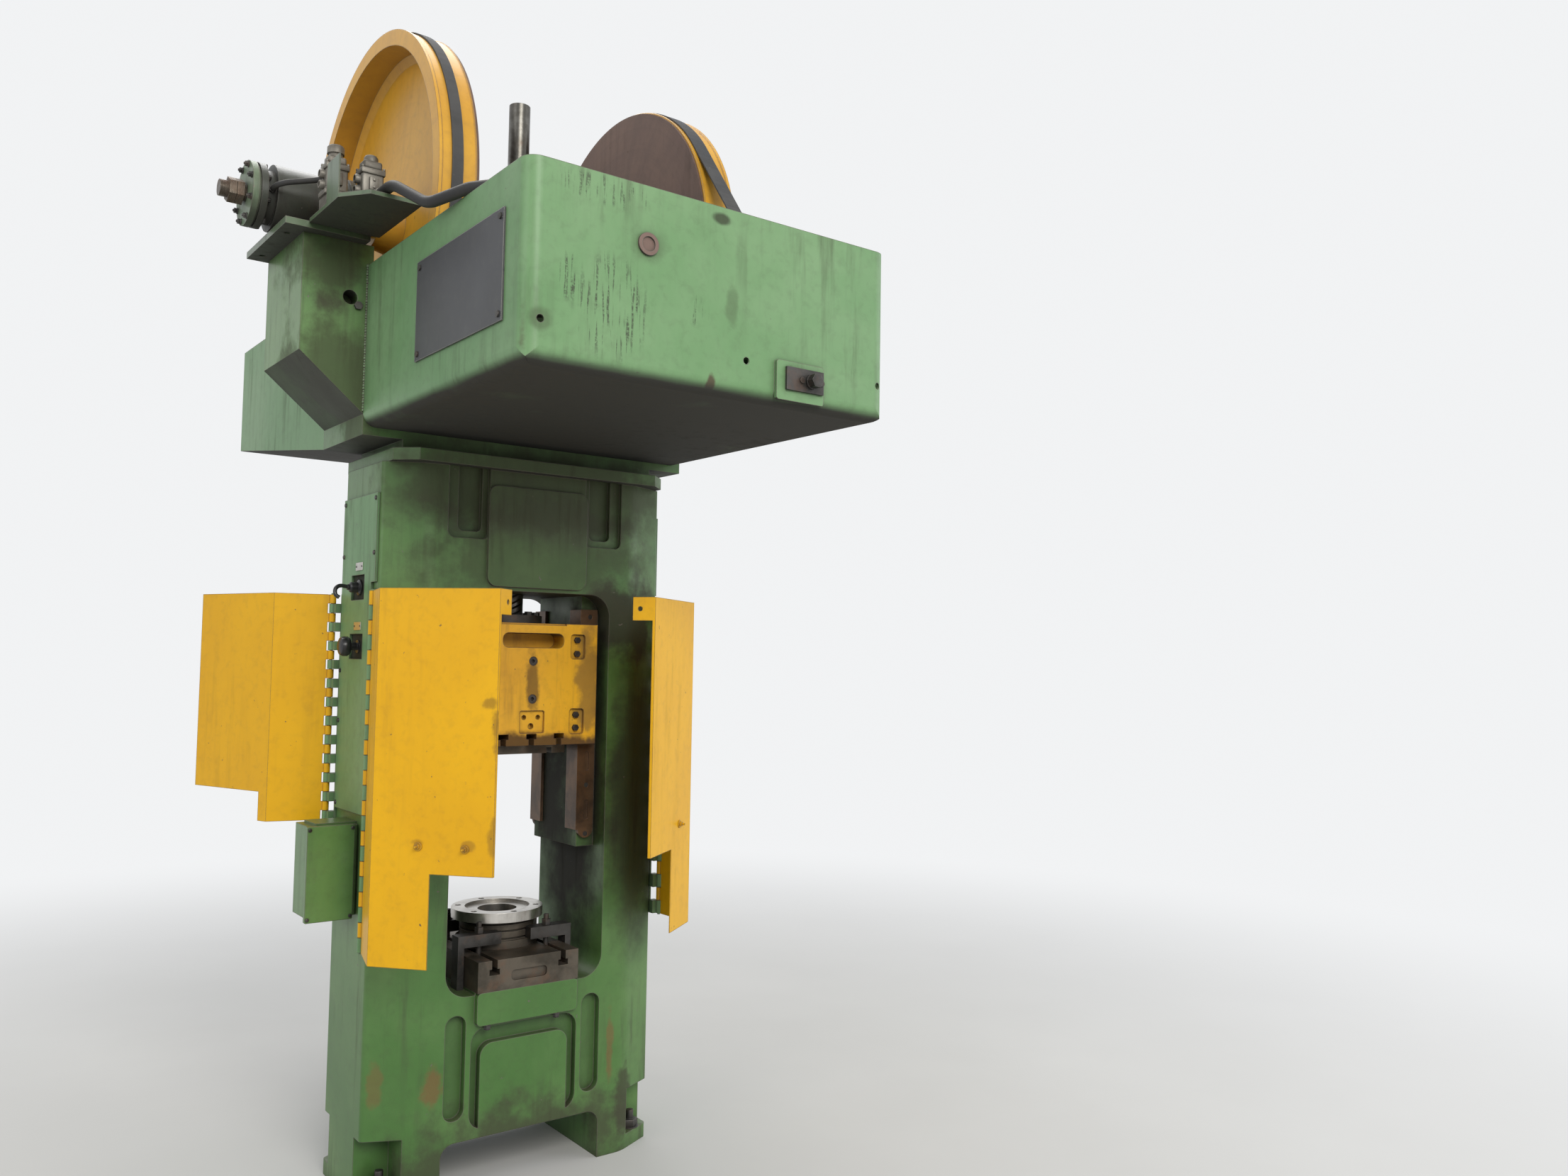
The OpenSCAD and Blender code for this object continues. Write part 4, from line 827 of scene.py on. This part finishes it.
def valve_bodies():
    """Two shift valves on their bracket: cast bodies, ports, screwed caps, and their hose ends."""
    bm = bmesh.new()
    block(bm, *VALVE_PACKER, 0.003)
    for x, y, z in VALVES:
        for half_x, half_y, low, high, soft, segments in VALVE_LAYERS:
            block(bm, (x - half_x, y - half_y, z + low), (x + half_x, y + half_y, z + high),
                  soft, segments)
        lathe(bm, VALVE_CAP, (x, y, z + VALVE_CAP_Z), UP)
        for dx in both_ways(VALVE_SCREW_X):
            for dy in both_ways(VALVE_SCREW_Y):
                for height, length, r in VALVE_SCREWS:
                    bar(bm, (x + dx, y + dy, z + height), UP, length, r, sides=14, soft=0.0008)
        for height in VALVE_PORT_Z:
            lathe(bm, VALVE_PORT, (x - VALVE_PORT_X, y, z + height), LEFT, steps=32)
        low, high = (Vector((x, y, z)) + Vector(corner) for corner in VALVE_PLATE)
        block(bm, low, high, 0.002)
        for height in VALVE_PLATE_SCREW_Z:
            bar(bm, (x, low.y, z + height), FRONT, length=0.003, r=0.004, sides=14, soft=0.0006)
    lathe(bm, RISER_CAP, (-0.690, -0.290, 3.006), UP)
    bar(bm, (-0.625, -0.464, 2.852), FRONT, length=0.014, r=0.0185, sides=NUT_SIDES, soft=0.001)
    bar(bm, (-0.625, -0.477, 2.851), FRONT, length=0.010, r=0.0172, soft=0.001)
    bar(bm, (-0.690, -0.266, 2.960), Y_AXIS, length=0.012, r=0.0110, sides=NUT_SIDES, soft=0.001)
    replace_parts(piece("valve_bodies", bm, "valve_alloy", "frame"), "valves")


def hoses():
    """The black hose from the front valve over the box's edge to its motor, and the short one."""
    ob = tube("motor_hose", MOTOR_HOSE_ROUTE, 0.0150, "hose_black", "frame",
              bend=0.122)
    ob = tube("cylinder_hose", CYLINDER_HOSE_ROUTE, 0.0080, "hose_black", "frame",
              bend=0.066, turn=9)
    bm = bmesh.new()
    bar(bm, (-0.8025, -0.086, 2.9415), Y_AXIS, length=0.012, r=0.0110, sides=NUT_SIDES, soft=0.001)
    bar(bm, (0.172, -0.950, 2.594), LEFT, length=0.016, r=0.0205, sides=NUT_SIDES, soft=0.001)
    piece("hose_nuts", bm, "dark_steel", "frame")


# Motors

MOTOR_Y = 0.950
# Side of the machine, height of the shaft, height of the slide that the feet stand on
MOTORS = ((1, 2.470, 2.318), (-1, 2.530, 2.378))
MOTOR_SHELL = [
    (0.019, 0.0), (0.060, 0.0), (0.060, 0.010), (0.092, 0.012), (0.098, 0.018), (0.098, 0.040),
    (0.090, 0.044), (0.090, 0.256), (0.098, 0.258), (0.098, 0.290), (0.096, 0.292), (0.096, 0.318),
    (0.088, 0.326), (0.060, 0.326), (0.058, 0.322), (0.020, 0.322), (0.0, 0.322)]
MOTOR_FACE_X = 0.386
MOTOR_FOOT_Y = 0.075
MOTOR_FOOT_THICK = 0.016
# Legs and bolts stand at these shares of the feet's distance from the middle.
LEG_SHARE, FOOT_BOLT_SHARE = 0.93, 1.16
FOOT_BOLT_X = (0.168, 0.312)
RIBS = 36
RIB_LOW, RIB_HIGH = (0.134, -0.0016, 0.086), (0.340, 0.0016, 0.1045)
RIB_CLEAR_COS = 0.80
TERMINAL_SCREW_X, TERMINAL_SCREW_Y = (0.178, 0.282), 0.044
SHIELD_X = 0.368
SHIELD_BOLTS, SHIELD_CIRCLE = 6, 0.080


def motor_bodies():
    """Two foot motors: ribbed shells, end shields, fan covers, terminal boxes and feet."""
    bm = bmesh.new()
    for s, z, foot in MOTORS:

        def at(dx, dy, h):
            return (dx * s, (dy - MOTOR_Y) * s, h)

        def slab(a, b, soft, **more):
            low, high = (tuple(pick(p) for p in zip(a, b)) for pick in (min, max))
            block(bm, low, high, soft, **more)

        lathe(bm, MOTOR_SHELL, at(MOTOR_FACE_X, 0, z), (-s, 0, 0), steps=56)
        for k in range(RIBS):
            a = 2 * math.pi * (k + 0.5) / RIBS
            if math.cos(a) < RIB_CLEAR_COS:
                spin = Matrix.Translation(at(0, 0, z)) @ Matrix.Rotation(a, 4, "X")
                slab((RIB_LOW[0] * s, *RIB_LOW[1:]), (RIB_HIGH[0] * s, *RIB_HIGH[1:]), 0.0006,
                     segments=1, turn=spin)
        for dy in both_ways(MOTOR_FOOT_Y):
            slab(at(0.150, dy - 0.024, foot), at(0.330, dy + 0.024, foot + MOTOR_FOOT_THICK), 0.003)
            leg = dy * LEG_SHARE
            slab(at(0.160, leg - 0.012, foot + 0.012), at(0.320, leg + 0.012, z - 0.05), 0.003)
            for x in FOOT_BOLT_X:
                bolt(bm, at(x, dy * FOOT_BOLT_SHARE, foot + MOTOR_FOOT_THICK), UP, flats=0.019,
                     height=0.010, washer=0.013)
        slab(at(0.170, -0.052, z + 0.080), at(0.290, 0.052, z + 0.138), 0.004)
        slab(at(0.166, -0.056, z + 0.139), at(0.294, 0.056, z + 0.149), 0.004)
        for x in TERMINAL_SCREW_X:
            for dy in both_ways(TERMINAL_SCREW_Y):
                bar(bm, at(x, dy, z + 0.148), UP, length=0.004, r=0.005, sides=12, soft=0.001)
        for k in range(SHIELD_BOLTS):
            a = 2 * math.pi * k / SHIELD_BOLTS
            across, rise = SHIELD_CIRCLE * math.cos(a), SHIELD_CIRCLE * math.sin(a)
            bolt(bm, at(SHIELD_X, across, z + rise), (s, 0, 0), flats=0.010, height=0.007)
    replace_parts(piece("motor_bodies", bm, "motor_paint", "frame", smooth=32.0), "motors")


# Bolts and screws

EAR_X, EAR_Y = (0.580, 0.770), 0.130
HOUSING_X, HOUSING_Y, HOUSING_FOOT = (0.622, 0.748), 0.084, EAR_TOP + 0.022
# Bolts round each cylinder's two ends; the outer circle is a share of the inner one.
CAP_BOLTS, CAP_CIRCLE, OUTER_SHARE = 8, 0.0865, 0.962
CAP_INNER_X, CAP_OUTER_X = 0.815, 0.858
ANCHOR_X, ANCHOR_Y, ANCHOR_Z = 0.420, 0.160, 0.045
NOSE_X, NOSE_Y, NOSE_Z = (-0.130, 0.100), -0.235, 0.485
LID_X, LID_Y, LID_Z = (-0.6250, -0.5010), -0.072, (0.824, 1.082)
COVER_FACE, COVER_Y = COL_X + 0.008, 0.136
COVER_Z = (1.136, 1.390, 1.545, 1.900, 2.064)
TAG_FACE = COL_X + 0.0095
TAG_Y, TAG_Z = (-0.034, 0.014), (1.864, 1.682)


def top_bolts():
    """Bolts of the top plates, housings, cylinders, anchors, table nose, lids, covers and tags."""
    bm = bmesh.new()
    for s in (-1, 1):
        for x in EAR_X:
            for y in both_ways(EAR_Y):
                bolt(bm, (s * x, y, EAR_TOP), UP, flats=0.027, height=0.014, washer=0.017)
        for x in HOUSING_X:
            for y in both_ways(HOUSING_Y):
                bolt(bm, (s * x, y, HOUSING_FOOT), UP, flats=0.020, height=0.012, washer=0.012)
        for k in range(CAP_BOLTS):
            a = 2 * math.pi * (k + 0.5) / CAP_BOLTS
            y, rise = CAP_CIRCLE * math.cos(a), CAP_CIRCLE * math.sin(a)
            bolt(bm, (s * CAP_INNER_X, y, DISC_Z + rise), (-s, 0, 0), flats=0.0135, height=0.008)
            bolt(bm, (s * CAP_OUTER_X, OUTER_SHARE * y, DISC_Z + OUTER_SHARE * rise), (s, 0, 0),
                 flats=0.0135, height=0.008, washer=0.0095, stud=0.004)
        for y in both_ways(ANCHOR_Y):
            bolt(bm, (s * ANCHOR_X, y, ANCHOR_Z), UP, flats=0.046, height=0.024, washer=0.030,
                 stud=0.030)
    for x in NOSE_X:
        bolt(bm, (x, NOSE_Y, NOSE_Z), DOWN, flats=0.019, height=0.012, washer=0.012)
    for x in LID_X:
        for z in LID_Z:
            bar(bm, (x, LID_Y, z), FRONT, length=0.004, r=0.0055, sides=16, soft=0.001)
    for s in (-1, 1):
        for y in both_ways(COVER_Y):
            for z in COVER_Z:
                bar(bm, (s * COVER_FACE, y, z), (s, 0, 0), length=0.004, r=0.0075, sides=18,
                    top=0.0055, soft=0.001)
    for y in TAG_Y:
        for z in TAG_Z:
            bar(bm, (-TAG_FACE, y, z), LEFT, length=0.0012, r=0.0028, sides=12, soft=0.0004)
    piece("machine_bolts", bm, "dark_steel", "frame", smooth=35.0)


# Lever, knob and door fittings

HOOK_BOSS = [(0.0, 0.0), (0.024, 0.0), (0.024, 0.006), (0.016, 0.009), (0.016, 0.030),
             (0.012, 0.034), (0.0, 0.034)]
# Each point of the hook: how far out of the side, its y and its height
HOOK_BEND = ((0.030, 0.0, 1.800), (0.046, -0.001, 1.802), (0.062, -0.003, 1.803),
             (0.074, -0.006, 1.797), (0.079, -0.009, 1.785), (0.076, -0.012, 1.773),
             (0.067, -0.014, 1.767))
KNOB = [(0.0, 0.0), (0.020, 0.0), (0.020, 0.004), (0.012, 0.006), (0.012, 0.026), (0.026, 0.029),
        (0.030, 0.034), (0.030, 0.046), (0.026, 0.055), (0.016, 0.0595), (0.0, 0.060)]
HINGE = (0.504, -0.182, 0)
DOOR_FACE = -0.172 * math.sin(math.radians(54))
# Door, side, how far it stands open, and where along it and how high its studs are
DOOR_STUDS = (("door_fl", -1, 49.1, ((-0.243, 1.072), (-0.382, 1.070))),
              ("door_fr", 1, 37.9, ((-0.209, 1.069),)))


def levers():
    """The hooked lever and the mushroom knob on the left side."""
    bm = bmesh.new()
    lathe(bm, HOOK_BOSS, (-COL_X, 0, HOOK_Z), LEFT, steps=40)
    bar(bm, (-COL_X - 0.034, 0, HOOK_Z), LEFT, length=0.007, r=0.0095, sides=NUT_SIDES, soft=0.001)
    boss = piece("hook_boss", bm, "knob_black", "hook_lever")
    tube("hook_bar", [(-COL_X - out, y, z) for out, y, z in HOOK_BEND], 0.0060, "knob_black",
         "hook_lever")
    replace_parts(boss, "hook_lever")
    bm = bmesh.new()
    lathe(bm, KNOB, (-COL_X, 0, KNOB_Z), LEFT)
    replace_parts(piece("knob", bm, "knob_black", "side_knob"), "side_knob")


def door_studs():
    """Studs with nuts and washers on the panels of the two front doors."""
    for name, side, degrees, spots in DOOR_STUDS:
        where = (Matrix.Diagonal((side, 1, 1, 1)) @ Matrix.Translation(HINGE)
                 @ Matrix.Rotation(math.radians(degrees), 4, "Z"))
        out = where.to_3x3() @ Vector(FRONT)
        bm = bmesh.new()
        for x, z in spots:
            bolt(bm, where @ Vector((x, DOOR_FACE, z)), out, flats=0.014, height=0.008,
                 washer=0.0125, stud=0.010)
        piece(name + "_studs", bm, "door_yellow", name)


# Welds

WELD_LOW, WELD_HIGH = 2.312, 2.742
WELD_OFF = 0.001
BEADS = 54
BEAD_R, BEAD_VARIES = 0.0042, 0.0008


def welds():
    """Weld beads up the four corners where the boxes meet the head."""
    bm = bmesh.new()
    for s in (-1, 1):
        for y in both_ways(HEAD_Y + WELD_OFF):
            for k in range(BEADS):
                z = WELD_LOW + (WELD_HIGH - WELD_LOW) * k / (BEADS - 1)
                r = BEAD_R + BEAD_VARIES * math.sin(k * 2.4)
                got = bmesh.ops.create_icosphere(bm, subdivisions=1, radius=r)["verts"]
                bmesh.ops.scale(bm, vec=(1, 1, 1.5), verts=got)
                bmesh.ops.translate(bm, vec=(s * (BOX_X + WELD_OFF), y, z), verts=got)
    piece("weld_beads", bm, "green_sheet", "frame", smooth=80.0)


valve_bodies()
hoses()
motor_bodies()
top_bolts()
levers()
door_studs()
welds()


# Floor, background and lamps

BACKGROUND = (0.93, 0.94, 0.95, 1)
BACKGROUND_STRENGTH = 0.95
AMBIENT = (0.84, 0.88, 0.92, 1)
AMBIENT_STRENGTH = 0.48
FLOOR_HALF = 40
FLOOR_TONES = ((0.60, 0.59, 0.57, 1), (0.66, 0.65, 0.63, 1))
FLOOR_FADES = (1.6, 6.5)
# Name, place, aim, size, power and tone
LAMPS = (
    ("key", (-1.5, -8.5, 6.0), (0, 0, 1.8), 4.0, 500, (1.0, 0.98, 0.94)),
    ("left", (-7.5, -2.0, 4.5), (0, 0, 1.8), 4.0, 120, (1.0, 1.0, 1.0)),
    ("fill", (6.5, -4.0, 3.5), (0, 0, 1.5), 5.0, 150, (0.94, 0.97, 1.0)),
    ("top", (0.0, 2.5, 8.0), (0, 0, 2.5), 5.0, 260, (1.0, 1.0, 1.0)),
)


def seen_directly(t):
    """One for rays of the camera, of reflections and through glass, else nought."""
    path = t.node("ShaderNodeLightPath").outputs
    return t.math("MAXIMUM", path["Is Camera Ray"],
                  t.math("MAXIMUM", path["Is Glossy Ray"], path["Is Transmission Ray"]))


def floor():
    """A pale floor that passes into the background further out."""
    bm = bmesh.new()
    bmesh.ops.create_grid(bm, x_segments=2, y_segments=2, size=FLOOR_HALF)
    me = bpy.data.meshes.new("floor")
    bm.to_mesh(me)
    bm.free()
    m, t, s = new_material("floor")
    t.feed(s, "Base Color", t.mix(t.noise(t.place(), 1.2), *FLOOR_TONES))
    t.feed(s, "Roughness", 0.8)
    t.feed(s, "Specular IOR Level", 0.1)
    far = t.ramp(t.vector("LENGTH", t.place()), *FLOOR_FADES)
    glow = t.node("ShaderNodeEmission", {"Color": BACKGROUND, "Strength": BACKGROUND_STRENGTH})
    both = t.node("ShaderNodeMixShader", {0: t.times(far, seen_directly(t)), 1: s.outputs[0],
                                          2: glow.outputs[0]})
    t.feed(m.node_tree.nodes["Material Output"], "Surface", both.outputs[0])
    me.materials.append(m)
    link(bpy.data.objects.new("floor", me))


def surroundings():
    """The even background, brighter to the eye than to the object."""
    world = bpy.data.worlds.new("studio")
    bpy.context.scene.world = world
    world.use_nodes = True
    t = Tree(world.node_tree)
    back = world.node_tree.nodes["Background"]
    seen = seen_directly(t)
    more = BACKGROUND_STRENGTH - AMBIENT_STRENGTH
    t.feed(back, "Color", t.mix(seen, AMBIENT, BACKGROUND))
    t.feed(back, "Strength", t.plus(AMBIENT_STRENGTH, t.times(seen, more)))


def lamps():
    for name, place, aim, size, power, tone in LAMPS:
        data = bpy.data.lights.new(name, "AREA")
        data.size = size
        data.energy = power
        data.color = tone
        aimed = (Vector(aim) - Vector(place)).to_track_quat("-Z", "Y").to_matrix().to_4x4()
        ob = link(bpy.data.objects.new(name, data))
        ob.matrix_world = Matrix.Translation(place) @ aimed


floor()
surroundings()
lamps()
